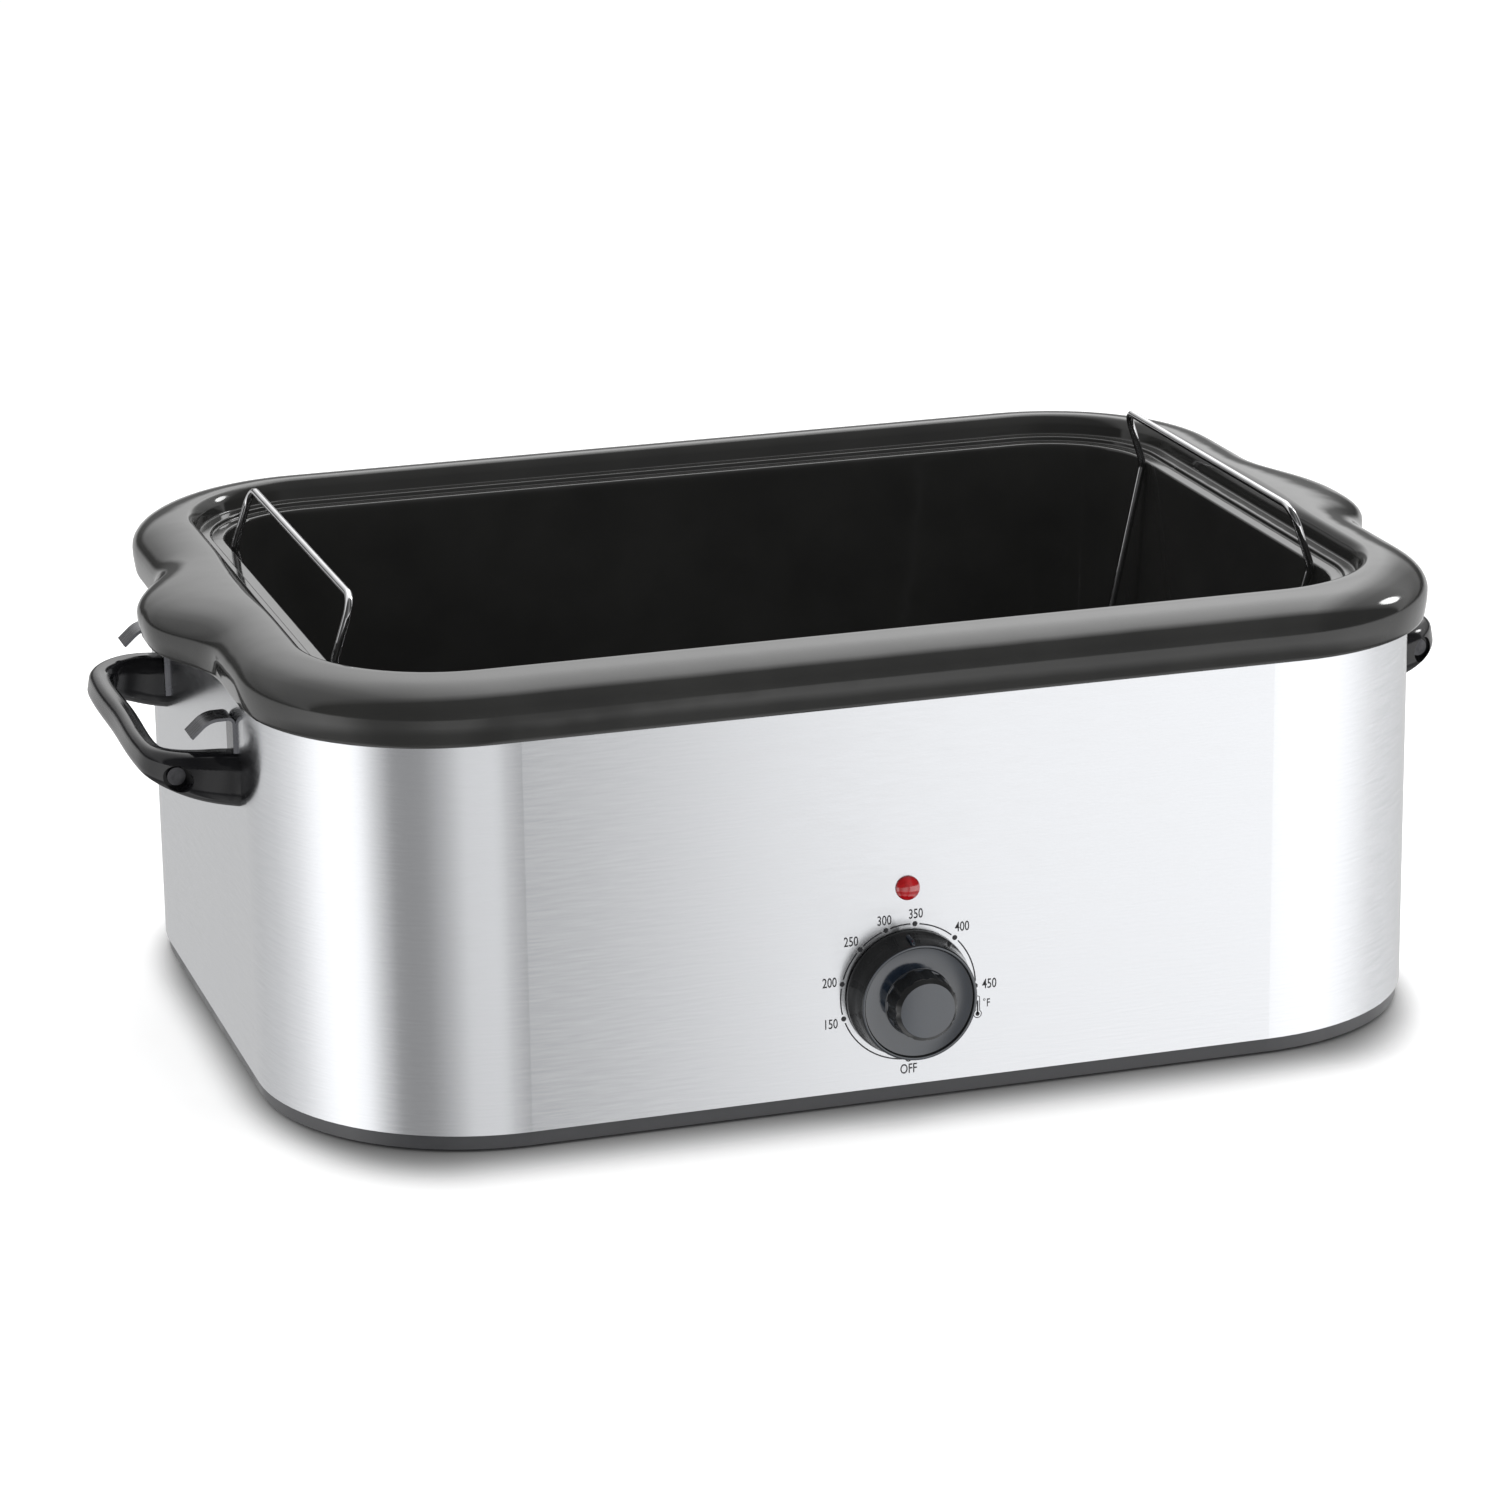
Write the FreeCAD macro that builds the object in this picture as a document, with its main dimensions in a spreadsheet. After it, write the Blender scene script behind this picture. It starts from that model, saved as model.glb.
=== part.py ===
"""Electric roaster oven: steel housing with a heated well, lift-out enamelled pan, wire rack and control.

Millimetres. Z is up, the ground is Z = 0, the front with the control faces -Y, and the origin lies
on the ground under the middle of the housing.
"""
import FreeCAD, Part
import Sketcher
import math
import os
import re

Vector = FreeCAD.Vector
doc = FreeCAD.newDocument("RoasterOven")

# ---------------------------------------------------------------------------------------------
# Driving sizes, one spreadsheet row each
# ---------------------------------------------------------------------------------------------
DRIVING = (
    # clearances shared by all pieces
    ("lift_clearance", 0.3),        # pieces that lift out, above what they rest on
    ("fit_gap", 0.2),               # fixed pieces that slip over or through each other
    ("running_gap", 0.05),          # shaft in its bore, wire in its eye
    # base plate and feet
    ("foot_rise", 1.5),             # the skirt's lower edge above the ground
    ("base_height", 6.5),
    ("base_wall", 2.5),
    ("base_inset", 1.5),            # the skirt stands back from the wrap
    ("foot_radius", 9),
    ("foot_stem_radius", 2.5),
    ("foot_barb_height", 1.5),
    ("foot_inset_x", 75),           # foot's middle from the wrap's end
    ("foot_inset_y", 76),
    # outer wrap
    ("wrap_half_length", 265),
    ("wrap_half_width", 196),
    ("wrap_corner", 97),
    ("wrap_height", 179),
    ("wrap_wall", 0.8),
    ("hem_width", 12),              # the wrap's lower edge is turned inward on to the base plate
    # pan rim and opening
    ("rim_overhang", 4.5),          # the rim stands out over the wrap
    ("rim_end_width", 29.5),
    ("rim_side_width", 31),
    ("rim_corner_ease", 8),        # the rim's corners are this much tighter than the wrap's
    ("opening_corner", 61),
    ("ledge_width", 6.5),           # step that a lid rests on
    ("ledge_rise", 2.0),
    ("seat_width", 6.5),            # lower step, which seats the pan on the well
    ("press_ease", 1.0),            # softened edges of the pressed steps
    ("ledge_slope", 0.1),           # fall of each step towards the bowl
    ("edge_rise", 5.2),             # opening edge above the lid ledge
    ("crest_rise", 4.0),            # highest line of the rim above the opening edge
    ("crest_share", 0.15),          # where the crest lies across the rim
    ("rim_side_drop", 14),          # from the crest down to the widest line
    ("skirt_drop", 25.7),             # from the crest down to the rim's lower edge
    ("skirt_draft", 0.4),
    ("ear_reach", 19),
    ("ear_half_flat", 4),
    ("ear_flank", 66),
    # pan bowl
    ("pan_wall", 0.8),
    ("pan_depth", 149.3),           # from the seat down to the floor
    ("pan_draft", 9),
    ("pan_floor_corner", 18),
    # heating well
    ("well_wall", 0.6),
    ("pan_gap", 2.5),               # between the pan's wall and the well
    ("floor_gap", 8),               # between the pan's floor and the well's
    ("well_floor_corner", 14),
    ("shoulder_rise", 6.6),
    ("shoulder_width", 12),
    ("hook_drop", 5),               # the well's rim hooks down over the wrap
    # heating band, its clips and the blanket
    ("band_start", 30),             # above the well's floor
    ("band_height", 40),
    ("band_thickness", 4),
    ("pin_radius", 1.5),
    ("pin_length", 9),
    ("pin_place", 30),
    ("clip_wall", 1.0),
    ("clip_width", 12),
    ("clip_overlap", 8),
    ("clip_place", 120),
    ("blanket_start", 26),
    ("blanket_height", 108),
    ("blanket_thickness", 8),
    # heat shield and posts
    ("shield_height", 12),
    ("shield_wall", 0.8),
    ("shield_inset", 4),
    ("post_radius", 6),
    ("post_tip_radius", 4),
    ("post_inset_x", 95),
    ("post_inset_y", 101),
    ("base_screw_radius", 2),
    ("base_screw_length", 11),
    ("base_screw_head_radius", 4),
    ("base_screw_head_height", 2.2),
    # thermostat
    ("control_level", 50.5),
    ("thermostat_width", 40),
    ("thermostat_height", 34),
    ("thermostat_depth", 18),
    ("neck_radius", 4.5),
    ("neck_reach", 3),
    ("bracket_wall", 1.5),
    ("bracket_width", 60),
    ("bracket_height", 40),
    ("thermostat_screw_place", 15),
    ("thermostat_screw_radius", 1.5),
    ("thermostat_screw_length", 8),
    ("thermostat_screw_head_radius", 3),
    ("thermostat_screw_head_height", 1.8),
    ("sensor_half_width", 6),
    ("sensor_level", 56),
    ("sensor_foot_height", 12),
    # control shaft and knob
    ("shaft_radius", 3),
    ("shaft_flat", 2),              # from the shaft's axis to its flat
    ("shaft_depth", 15),            # inside the wrap
    ("shaft_reach", 22),            # outside the wrap
    ("pointer_rest", 5),            # degrees that the pointer stands left of the top
    ("knob_gap", 0.8),
    ("knob_skirt_radius", 28.3),
    ("knob_waist_radius", 26.8),
    ("knob_face_radius", 26),
    ("knob_lip", 1.3),
    ("knob_lip_depth", 1.0),
    ("knob_depth", 14.5),
    ("knob_wall", 2.4),
    ("grip_radius", 14.8),
    ("grip_end_radius", 14.1),
    ("grip_depth", 10.5),
    ("flute_radius", 3.4),
    ("flute_depth", 1.1),
    ("flute_count", 12),
    ("pointer_width", 1.8),
    ("pointer_rise", 0.9),
    # pilot lamp
    ("lamp_level", 97.5),
    ("lens_radius", 5.4),
    ("lens_bulge", 3.4),
    ("lens_neck_radius", 4),
    ("lens_neck_length", 7),
    ("lens_wall", 1.3),
    ("bulb_length", 14),
    ("lens_clip_radius", 7),
    # side handles
    ("handle_level", 141),
    ("handle_tilt", 10),
    ("handle_reach", 39.3),
    ("handle_half_span", 89),
    ("arm_width", 19),               # the loop tapers from its arms to the grip
    ("arm_height", 24),
    ("grip_width", 10.5),
    ("grip_height", 13),
    ("handle_turn", 24),            # bend between arm and grip, at the middle of the loop
    ("handle_rounding", 0.4),       # section's corner radius, as a share of its width
    ("handle_root", 8),             # how far the loop starts inside the wrap before it is trimmed
    ("tongue_inset", 15.6),         # tongue's middle from the handle's side
    ("tongue_wall", 2),
    ("tongue_height", 8),
    ("tongue_lift", 2.5),
    ("tongue_reach", 28.5),
    ("handle_plate_wall", 2),
    ("handle_screw_reach", 25.5),
    ("handle_screw_lift", 2.5),
    ("handle_screw_radius", 2),
    ("handle_screw_length", 9),
    ("handle_screw_head_radius", 4),
    ("handle_screw_head_height", 1.8),
    ("recess_radius", 5.9),
    ("recess_depth", 13.5),
    # lid hooks
    ("hook_inset", 12.5),
    ("hook_width", 14),
    ("hook_wall", 1.4),
    ("hook_foot", 136),
    ("hook_level", 168.5),
    ("hook_bend", 2.5),
    ("hook_curl", 11),
    ("hook_shelf", 10.5),
    ("hook_reach", 18.5),
    ("hook_tip_drop", 7.2),
    # rack
    ("rack_end_gap", 40),           # rack's end wire from the top of the pan's wall
    ("rack_side_gap", 30.5),
    ("rack_corner", 26),
    ("rack_rise", 16),              # from the pan's floor to the frame wire
    ("frame_wire", 2.0),
    ("cross_wire", 1.5),
    ("cross_count", 9),
    ("cross_overhang", 3),          # cross wires end a little outside the loop
    ("weld_sink", 0.8),             # welded wires run into each other by this much
    ("long_wire_place", 42),
    ("rack_foot_inset", 57),
    ("rack_foot_half_width", 12),
    ("rack_foot_bend", 5),
    # rack handles
    ("bail_wire", 1.75),
    ("bail_eye_inset", 8),          # from where the rack's corner starts
    ("bail_kink_splay", 10),         # kink and top stand wider than the eyes
    ("bail_kink_rise", 133),        # above the hinge
    ("bail_top_splay", 9),
    ("bail_top_rise", 160),
    ("bail_top_inset", 9),
    ("bail_bend", 9),
    ("bail_eye_opening", 75),       # degrees of the eye left open beside the leg
    # cord entry, terminal block and leads
    ("bushing_inset", 8),           # from where the wrap's corner starts
    ("bushing_level", 30),
    ("bushing_radius", 6),
    ("bushing_flange_radius", 8.5),
    ("bushing_flange", 3),
    ("bushing_depth", 6),
    ("bushing_bore", 3.6),
    ("block_inset", 35),
    ("block_half_length", 20),
    ("block_width", 20),
    ("block_height", 16),
    ("block_setback", 17),          # from the wrap's inner face
    ("lead_radius", 1.3),
    ("lead_level", 14),
    ("lead_bend", 8),
)

# Sizes worked out from the driving ones, as formulas of the same sheet
WORKED_OUT = (
    ("base_top", "foot_rise + base_height"),
    ("plate_underside", "base_top - base_wall"),
    ("wrap_top", "base_top + wrap_height"),
    ("inner_half_length", "wrap_half_length - wrap_wall"),
    ("inner_half_width", "wrap_half_width - wrap_wall"),
    ("rim_half_length", "wrap_half_length + rim_overhang"),
    ("rim_half_width", "wrap_half_width + rim_overhang"),
    ("foot_place_x", "wrap_half_length - foot_inset_x"),
    ("foot_place_y", "wrap_half_width - foot_inset_y"),
    ("post_place_x", "wrap_half_length - post_inset_x"),
    ("post_place_y", "wrap_half_width - post_inset_y"),
    ("bushing_place", "wrap_half_length - wrap_corner - bushing_inset"),
    ("block_place", "bushing_place - block_inset"),
    ("tongue_place", "handle_half_span - tongue_inset"),
    ("hook_place", "handle_half_span - hook_inset"),
    ("rim_corner", "wrap_corner - rim_corner_ease"),
    ("opening_half_length", "rim_half_length - rim_end_width"),
    ("opening_half_width", "rim_half_width - rim_side_width"),
    ("pan_inset", "ledge_width + seat_width"),
    ("pan_half_length", "opening_half_length - pan_inset"),
    ("pan_half_width", "opening_half_width - pan_inset"),
    ("well_half_length", "pan_half_length + pan_wall + pan_gap"),
    ("well_half_width", "pan_half_width + pan_wall + pan_gap"),
    ("well_corner", "opening_corner - pan_inset + pan_wall + pan_gap"),
    ("shoulder_top", "wrap_top + well_wall + shoulder_rise"),
    ("seat_level", "shoulder_top + lift_clearance + pan_wall"),
    ("ledge_level", "seat_level + ledge_rise"),
    ("edge_level", "ledge_level + edge_rise"),
    ("crest_level", "edge_level + crest_rise"),
    ("pan_floor", "seat_level - pan_depth"),
    ("well_floor", "pan_floor - pan_wall - floor_gap"),
    ("well_underside", "well_floor - well_wall"),
    ("shell_half_length", "well_half_length + well_wall"),
    ("shell_half_width", "well_half_width + well_wall"),
    ("shell_corner", "well_corner + well_wall"),
    ("band_level", "well_floor + band_start"),
    ("clip_offset", "fit_gap + band_thickness + fit_gap"),
    ("blanket_offset", "clip_offset + clip_wall + fit_gap"),
    ("shield_level", "base_top + shield_height"),
    ("bracket_face", "inner_half_width - bracket_wall"),
    ("thermostat_back", "bracket_face - thermostat_depth"),
    ("rack_half_length", "pan_half_length - rack_end_gap"),
    ("rack_half_width", "pan_half_width - rack_side_gap"),
    ("cross_pitch", "2 * rack_half_length / (cross_count + 1)"),
    ("rack_foot_place", "rack_half_length - rack_foot_inset"),
    ("hinge_level", "pan_floor + rack_rise"),
    ("bail_eye_place", "rack_half_width - rack_corner - bail_eye_inset"),
    ("bail_kink_place", "bail_eye_place + bail_kink_splay"),
    ("bail_top_place", "bail_eye_place + bail_top_splay"),
    ("eye_radius", "frame_wire + running_gap + bail_wire"),
    ("bail_kink_reach", "pan_half_length - bail_wire - lift_clearance"),
    ("block_back", "inner_half_width - block_setback"),
)

sheet = doc.addObject("Spreadsheet::Sheet", "Sizes")
for row, (alias, value) in enumerate(DRIVING, 1):
    sheet.set(f"A{row}", str(value))
    sheet.setAlias(f"A{row}", alias)
for row, (alias, formula) in enumerate(WORKED_OUT, 1):
    sheet.set(f"B{row}", "=" + formula)
    sheet.setAlias(f"B{row}", alias)
scratch = doc.addObject("Spreadsheet::Sheet", "Scratch")
doc.recompute()


def linked(formula):
    """Formula text in which each size name points to the sheet."""
    return re.sub(r"\b[a-z]+(_[a-z]+)+\b", r"Sizes.\g<0>", formula)


def number(formula):
    """What a formula comes to, worked out by a second sheet."""
    scratch.set("A1", "=" + linked(formula))
    scratch.recompute()
    return float(scratch.get("A1"))


def bind(thing, name, formula):
    thing.setExpression(name, linked(formula))


# ---------------------------------------------------------------------------------------------
# Primitives and booleans
# ---------------------------------------------------------------------------------------------
FACING = {
    "+x": FreeCAD.Rotation(Vector(0, 1, 0), 90),
    "-x": FreeCAD.Rotation(Vector(0, 1, 0), -90),
    "+y": FreeCAD.Rotation(Vector(1, 0, 0), -90),
    "-y": FreeCAD.Rotation(Vector(1, 0, 0), 90),
    "+z": FreeCAD.Rotation(),
}


def place(thing, spot, rotation=FACING["+z"]):
    thing.Placement = FreeCAD.Placement(Vector(), rotation)
    for axis, formula in zip("xyz", spot):
        bind(thing, "Placement.Base." + axis, formula)
    return thing


def rod(name, radius, length, spot, facing="+z"):
    """Cylinder from a spot, along one axis."""
    thing = doc.addObject("Part::Cylinder", name)
    bind(thing, "Radius", radius)
    bind(thing, "Height", length)
    return place(thing, spot, FACING[facing])


def block(name, low, lengths):
    """Box from its lowest corner."""
    thing = doc.addObject("Part::Box", name)
    for side, formula in zip(("Length", "Width", "Height"), lengths):
        bind(thing, side, formula)
    return place(thing, low)


def slab(name, middle, lengths):
    """Box about a middle point."""
    low = [f"({m}) - ({d}) / 2" for m, d in zip(middle, lengths)]
    return block(name, low, lengths)


def joined(name, parts):
    thing = doc.addObject("Part::MultiFuse", name)
    thing.Shapes = parts
    return thing


def group(name, parts):
    """Separate solids of one kind."""
    thing = doc.addObject("Part::Compound", name)
    thing.Links = parts
    return thing


def cut(name, base, tools):
    thing = doc.addObject("Part::Cut", name)
    thing.Base = base
    thing.Tool = tools[0] if len(tools) == 1 else group(name + "_tools", tools)
    return thing


def pressed(name, shape):
    """Sub-part whose shape comes from a function below."""
    thing = doc.addObject("Part::Feature", name)
    thing.Shape = shape
    return thing


def tube(name, outer, inner, length, spot, facing="+z"):
    return cut(name, rod(name + "_outer", outer, length, spot, facing),
               [rod(name + "_bore", inner, length, spot, facing)])


# ---------------------------------------------------------------------------------------------
# Bodies made from sketches
# ---------------------------------------------------------------------------------------------
def body(name):
    return doc.addObject("PartDesign::Body", name)


def origin_feature(owner, role):
    return next(feature for feature in owner.Origin.OriginFeatures if feature.Role == role)


def new_sketch(owner, name, role="XY_Plane", level="0", shift="0"):
    """Sketch on a plane of the body's own origin, lifted and shifted along the sketch's first axis."""
    sketch = owner.newObject("Sketcher::SketchObject", name)
    sketch.AttachmentSupport = [(origin_feature(owner, role), "")]
    sketch.MapMode = "FlatFace"
    bind(sketch, "AttachmentOffset.Base.z", level)
    bind(sketch, "AttachmentOffset.Base.x", shift)
    return sketch


def dimension(sketch, kind, places, formula):
    """Constraint whose value follows a formula."""
    index = sketch.addConstraint(Sketcher.Constraint(kind, *places, number(formula)))
    bind(sketch, f"Constraints[{index}]", formula)


def rounded_rectangle(sketch, half_x, half_y, corner):
    """Rectangle with rounded corners about the sketch's origin: four arcs, then the four sides."""
    first = sketch.GeometryCount
    a, b, r = number(half_x), number(half_y), number(corner)
    arcs = []
    for quarter, (sx, sy) in enumerate(((1, -1), (1, 1), (-1, 1), (-1, -1))):
        circle = Part.Circle(Vector(sx * (a - r), sy * (b - r), 0), Vector(0, 0, 1), r)
        start = (quarter - 1) * math.pi / 2
        arcs.append(Part.ArcOfCircle(circle, start, start + math.pi / 2))
    sides = [Part.LineSegment(arcs[i].EndPoint, arcs[(i + 1) % 4].StartPoint) for i in range(4)]
    sketch.addGeometry(arcs + sides, False)
    for i in range(4):
        arc, side, next_arc = first + i, first + 4 + i, first + (i + 1) % 4
        sketch.addConstraint(Sketcher.Constraint("Tangent", arc, 2, side, 1))
        sketch.addConstraint(Sketcher.Constraint("Tangent", side, 2, next_arc, 1))
        sketch.addConstraint(Sketcher.Constraint("Vertical" if i % 2 == 0 else "Horizontal", side))
        if i:
            sketch.addConstraint(Sketcher.Constraint("Equal", first, arc))
    dimension(sketch, "Radius", (first,), corner)
    dimension(sketch, "DistanceX", (-1, 1, first + 4, 1), half_x)
    dimension(sketch, "DistanceY", (-1, 1, first + 5, 1), half_y)
    dimension(sketch, "DistanceX", (first + 6, 1, -1, 1), half_x)
    dimension(sketch, "DistanceY", (first + 7, 1, -1, 1), half_y)


def outline(owner, name, half_x, half_y, corner, level, shift="0"):
    sketch = new_sketch(owner, name, level=level, shift=shift)
    rounded_rectangle(sketch, half_x, half_y, corner)
    return sketch


def polygon(sketch, points):
    """Closed run of straight lines, each corner held at its two coordinates."""
    spots = [Vector(number(x), number(y), 0) for x, y in points]
    count = len(spots)
    sketch.addGeometry([Part.LineSegment(spots[i], spots[(i + 1) % count]) for i in range(count)], False)
    for i, (x, y) in enumerate(points):
        sketch.addConstraint(Sketcher.Constraint("Coincident", i, 2, (i + 1) % count, 1))
        for kind, formula in (("DistanceX", x), ("DistanceY", y)):
            dimension(sketch, kind, (-1, 1, i, 1), formula)


def pad(owner, sketch, length, downward=False):
    feature = owner.newObject("PartDesign::Pad", sketch.Name + "_pad")
    feature.Profile = sketch
    feature.Reversed = downward
    bind(feature, "Length", length)
    return feature


def pocket(owner, sketch, depth, upward=False):
    feature = owner.newObject("PartDesign::Pocket", sketch.Name + "_pocket")
    feature.Profile = sketch
    feature.Reversed = upward
    bind(feature, "Length", depth)
    return feature


def round_edges(owner, feature, radius, chosen):
    """Fillet of the edges that a test picks out of the feature's shape."""
    doc.recompute()
    names = [f"Edge{i}" for i, edge in enumerate(feature.Shape.Edges, 1) if chosen(edge)]
    fillet = owner.newObject("PartDesign::Fillet", feature.Name + "_round")
    fillet.Base = (feature, names)
    bind(fillet, "Radius", radius)
    return fillet


def lies_at(level):
    """Test for edges that lie flat at one height."""
    height = number(level)
    return lambda edge: abs(edge.BoundBox.ZMin - height) < 1e-3 and abs(edge.BoundBox.ZMax - height) < 1e-3


# ---------------------------------------------------------------------------------------------
# Wires and strips: straight runs joined by tangent arcs
# ---------------------------------------------------------------------------------------------
def spots(*points):
    return [Vector(*(number(formula) for formula in point)) for point in points]


def bent_path(points, bends):
    edges = []
    start = points[0]
    for before, corner, after, bend in zip(points, points[1:], points[2:], bends):
        inward = (corner - before).normalize()
        outward = (after - corner).normalize()
        half_turn = inward.getAngle(outward) / 2
        bisector = (outward - inward).normalize()
        arc_start = corner - inward * bend * math.tan(half_turn)
        arc_end = corner + outward * bend * math.tan(half_turn)
        arc_middle = corner + bisector * bend * (1 / math.cos(half_turn) - 1)
        edges.append(Part.LineSegment(start, arc_start).toShape())
        edges.append(Part.Arc(arc_start, arc_middle, arc_end).toShape())
        start = arc_end
    edges.append(Part.LineSegment(start, points[-1]).toShape())
    return edges


def round_wire(edges, radius):
    """Round wire along a run of edges."""
    start = edges[0]
    section = Part.Wire(Part.makeCircle(radius, start.valueAt(start.FirstParameter),
                                        start.tangentAt(start.FirstParameter)))
    return Part.Wire(edges).makePipeShell([section], True, False)


def bent_wire(points, bend, radius):
    return round_wire(bent_path(points, [bend] * (len(points) - 2)), radius)


def straight_wire(start, end, radius):
    return Part.makeCylinder(radius, (end - start).Length, start, end - start)


# ---------------------------------------------------------------------------------------------
# Base plate, feet and screws
# ---------------------------------------------------------------------------------------------
NODES = []


def keep(thing, node):
    """Names a finished sub-part."""
    thing.Label = node
    NODES.append(thing)
    return thing


SIGNS = ((1, 1), (-1, 1), (-1, -1), (1, -1))
FOOT_PLACES = (*SIGNS, (0, 0))
BASE_OUTLINE = ("wrap_half_length - base_inset", "wrap_half_width - base_inset", "wrap_corner - base_inset")


def base_plate():
    plate = body("base_shell")
    pad(plate, outline(plate, "base_outline", *BASE_OUTLINE, "foot_rise"), "base_height")
    hollow = outline(plate, "base_hollow", *(side + " - base_wall" for side in BASE_OUTLINE), "foot_rise")
    pocket(plate, hollow, "base_height - base_wall", upward=True)
    holes = [rod(f"stem_hole_{n}", "foot_stem_radius + running_gap", "base_wall",
                 (f"{sx} * foot_place_x", f"{sy} * foot_place_y", "plate_underside"))
             for n, (sx, sy) in enumerate(FOOT_PLACES)]
    holes += [rod(f"screw_hole_{n}", "base_screw_radius + fit_gap", "base_wall",
                  (f"{sx} * post_place_x", f"{sy} * post_place_y", "plate_underside"))
              for n, (sx, sy) in enumerate(SIGNS)]
    keep(cut("base_plate", plate, holes), "base_plate")


def feet():
    """Rubber feet near the corners and one in the middle, each with a stem barbed above the plate."""
    made = []
    for n, (sx, sy) in enumerate(FOOT_PLACES):
        x, y = f"{sx} * foot_place_x", f"{sy} * foot_place_y"
        made.append(joined(f"foot_{n}", [
            rod(f"foot_pad_{n}", "foot_radius", "plate_underside", (x, y, "0")),
            rod(f"foot_stem_{n}", "foot_stem_radius", "base_wall", (x, y, "plate_underside")),
            rod(f"foot_barb_{n}", "foot_stem_radius * 1.35", "foot_barb_height", (x, y, "base_top")),
        ]))
    keep(group("feet", made), "feet")


def posts_and_screws():
    posts, screws = [], []
    for n, (sx, sy) in enumerate(SIGNS):
        x, y = f"{sx} * post_place_x", f"{sy} * post_place_y"
        post = joined(f"post_blank_{n}", [
            rod(f"post_foot_{n}", "post_radius", "shield_height", (x, y, "base_top")),
            rod(f"post_tip_{n}", "post_tip_radius", "well_underside - shield_level", (x, y, "shield_level")),
        ])
        thread = rod(f"post_thread_{n}", "base_screw_radius + running_gap", "base_screw_length",
                     (x, y, "base_top"))
        posts.append(cut(f"post_{n}", post, [thread]))
        screws.append(joined(f"base_screw_{n}", [
            rod(f"base_screw_head_{n}", "base_screw_head_radius", "base_screw_head_height",
                (x, y, "plate_underside - base_screw_head_height")),
            rod(f"base_screw_shank_{n}", "base_screw_radius", "base_screw_length",
                (x, y, "plate_underside")),
        ]))
    keep(group("spacer_posts", posts), "spacer_posts")
    keep(group("base_screws", screws), "base_screws")


# ---------------------------------------------------------------------------------------------
# Outer wrap with its openings
# ---------------------------------------------------------------------------------------------
def outer_wrap():
    wrap = body("wrap_shell")
    outside = outline(wrap, "wrap_outline", "wrap_half_length", "wrap_half_width", "wrap_corner", "base_top")
    pad(wrap, outside, "wrap_height")
    inside = outline(wrap, "wrap_inside", "inner_half_length", "inner_half_width", "wrap_corner - wrap_wall",
                     "wrap_top")
    pocket(wrap, inside, "wrap_height - wrap_wall")
    hem = outline(wrap, "wrap_hem", "inner_half_length - hem_width", "inner_half_width - hem_width",
                  "wrap_corner - wrap_wall - hem_width", "base_top + wrap_wall")
    pocket(wrap, hem, "wrap_wall")
    front = "0 - wrap_half_width"
    holes = [
        rod("neck_hole", "neck_radius + fit_gap", "wrap_wall", ("0", front, "control_level"), "+y"),
        rod("lens_hole", "lens_neck_radius + running_gap", "wrap_wall", ("0", front, "lamp_level"), "+y"),
        rod("bushing_hole", "bushing_radius + running_gap", "wrap_wall",
            ("0 - bushing_place", "inner_half_width", "bushing_level"), "+y"),
    ]
    for side in (-1, 1):
        holes.append(rod(f"wrap_screw_hole_{side + 1}", "thermostat_screw_radius + fit_gap", "wrap_wall",
                         (f"{side} * thermostat_screw_place", front, "control_level"), "+y"))
        for end in (-1, 1):
            holes.append(slab(f"tongue_slot_{side + 1}{end + 1}",
                              (f"{side} * (wrap_half_length - wrap_wall / 2)", f"{end} * tongue_place",
                               "handle_level + tongue_lift"), ("wrap_wall", *TONGUE_SLOT)))
    keep(cut("outer_wrap", wrap, holes), "outer_wrap")


# ---------------------------------------------------------------------------------------------
# Heating well and what surrounds it
# ---------------------------------------------------------------------------------------------
def well_outline(owner, name, offset, level):
    """Outline that follows the well's inner wall at an offset."""
    sides = [f"{side} + {offset}" for side in ("well_half_length", "well_half_width", "well_corner")]
    return outline(owner, name, *sides, level)


def heating_well():
    well = body("heating_well")
    reach = "fit_gap + well_wall"
    wrap_sides = ("wrap_half_length", "wrap_half_width", "wrap_corner")
    flange = outline(well, "well_flange", *(f"{side} + {reach}" for side in wrap_sides), "wrap_top")
    pad(well, flange, "well_wall")
    pad(well, well_outline(well, "well_shoulder", "shoulder_width", "wrap_top"), "shoulder_rise + well_wall")
    pocket(well, well_outline(well, "shoulder_hollow", "shoulder_width - well_wall", "wrap_top"),
           "shoulder_rise", upward=True)
    pad(well, well_outline(well, "well_shell", "well_wall", "shoulder_top"), "shoulder_top - well_underside",
        downward=True)
    hollow = pocket(well, well_outline(well, "well_hollow", "0", "shoulder_top"),
                    "shoulder_top - well_floor")
    inside = round_edges(well, hollow, "well_floor_corner - well_wall", lies_at("well_floor"))
    round_edges(well, inside, "well_floor_corner", lies_at("well_underside"))
    hook = outline(well, "well_hook", *(f"{side} + {reach}" for side in wrap_sides), "wrap_top")
    rounded_rectangle(hook, *(side + " + fit_gap" for side in wrap_sides))
    pad(well, hook, "hook_drop", downward=True)
    keep(well, "heating_well")


def sleeve(name, inner_offset, outer_offset, level, height):
    """Ring that wraps the well between two offsets from its outer face."""
    ring = body(name)
    section = well_outline(ring, name + "_section", f"well_wall + {outer_offset}", level)
    rounded_rectangle(section, *(f"{side} + well_wall + {inner_offset}"
                                 for side in ("well_half_length", "well_half_width", "well_corner")))
    pad(ring, section, height)
    return ring


def heating_band():
    ring = sleeve("band_ring", "fit_gap", "fit_gap + band_thickness", "band_level", "band_height")
    pins = [rod(f"band_pin_{side + 1}", "pin_radius", "pin_length + weld_sink",
                (f"{side} * pin_place", "0 - shell_half_width - fit_gap - band_thickness / 2",
                 "band_level - pin_length")) for side in (-1, 1)]
    keep(joined("heating_band", [ring, *pins]), "heating_band")


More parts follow.
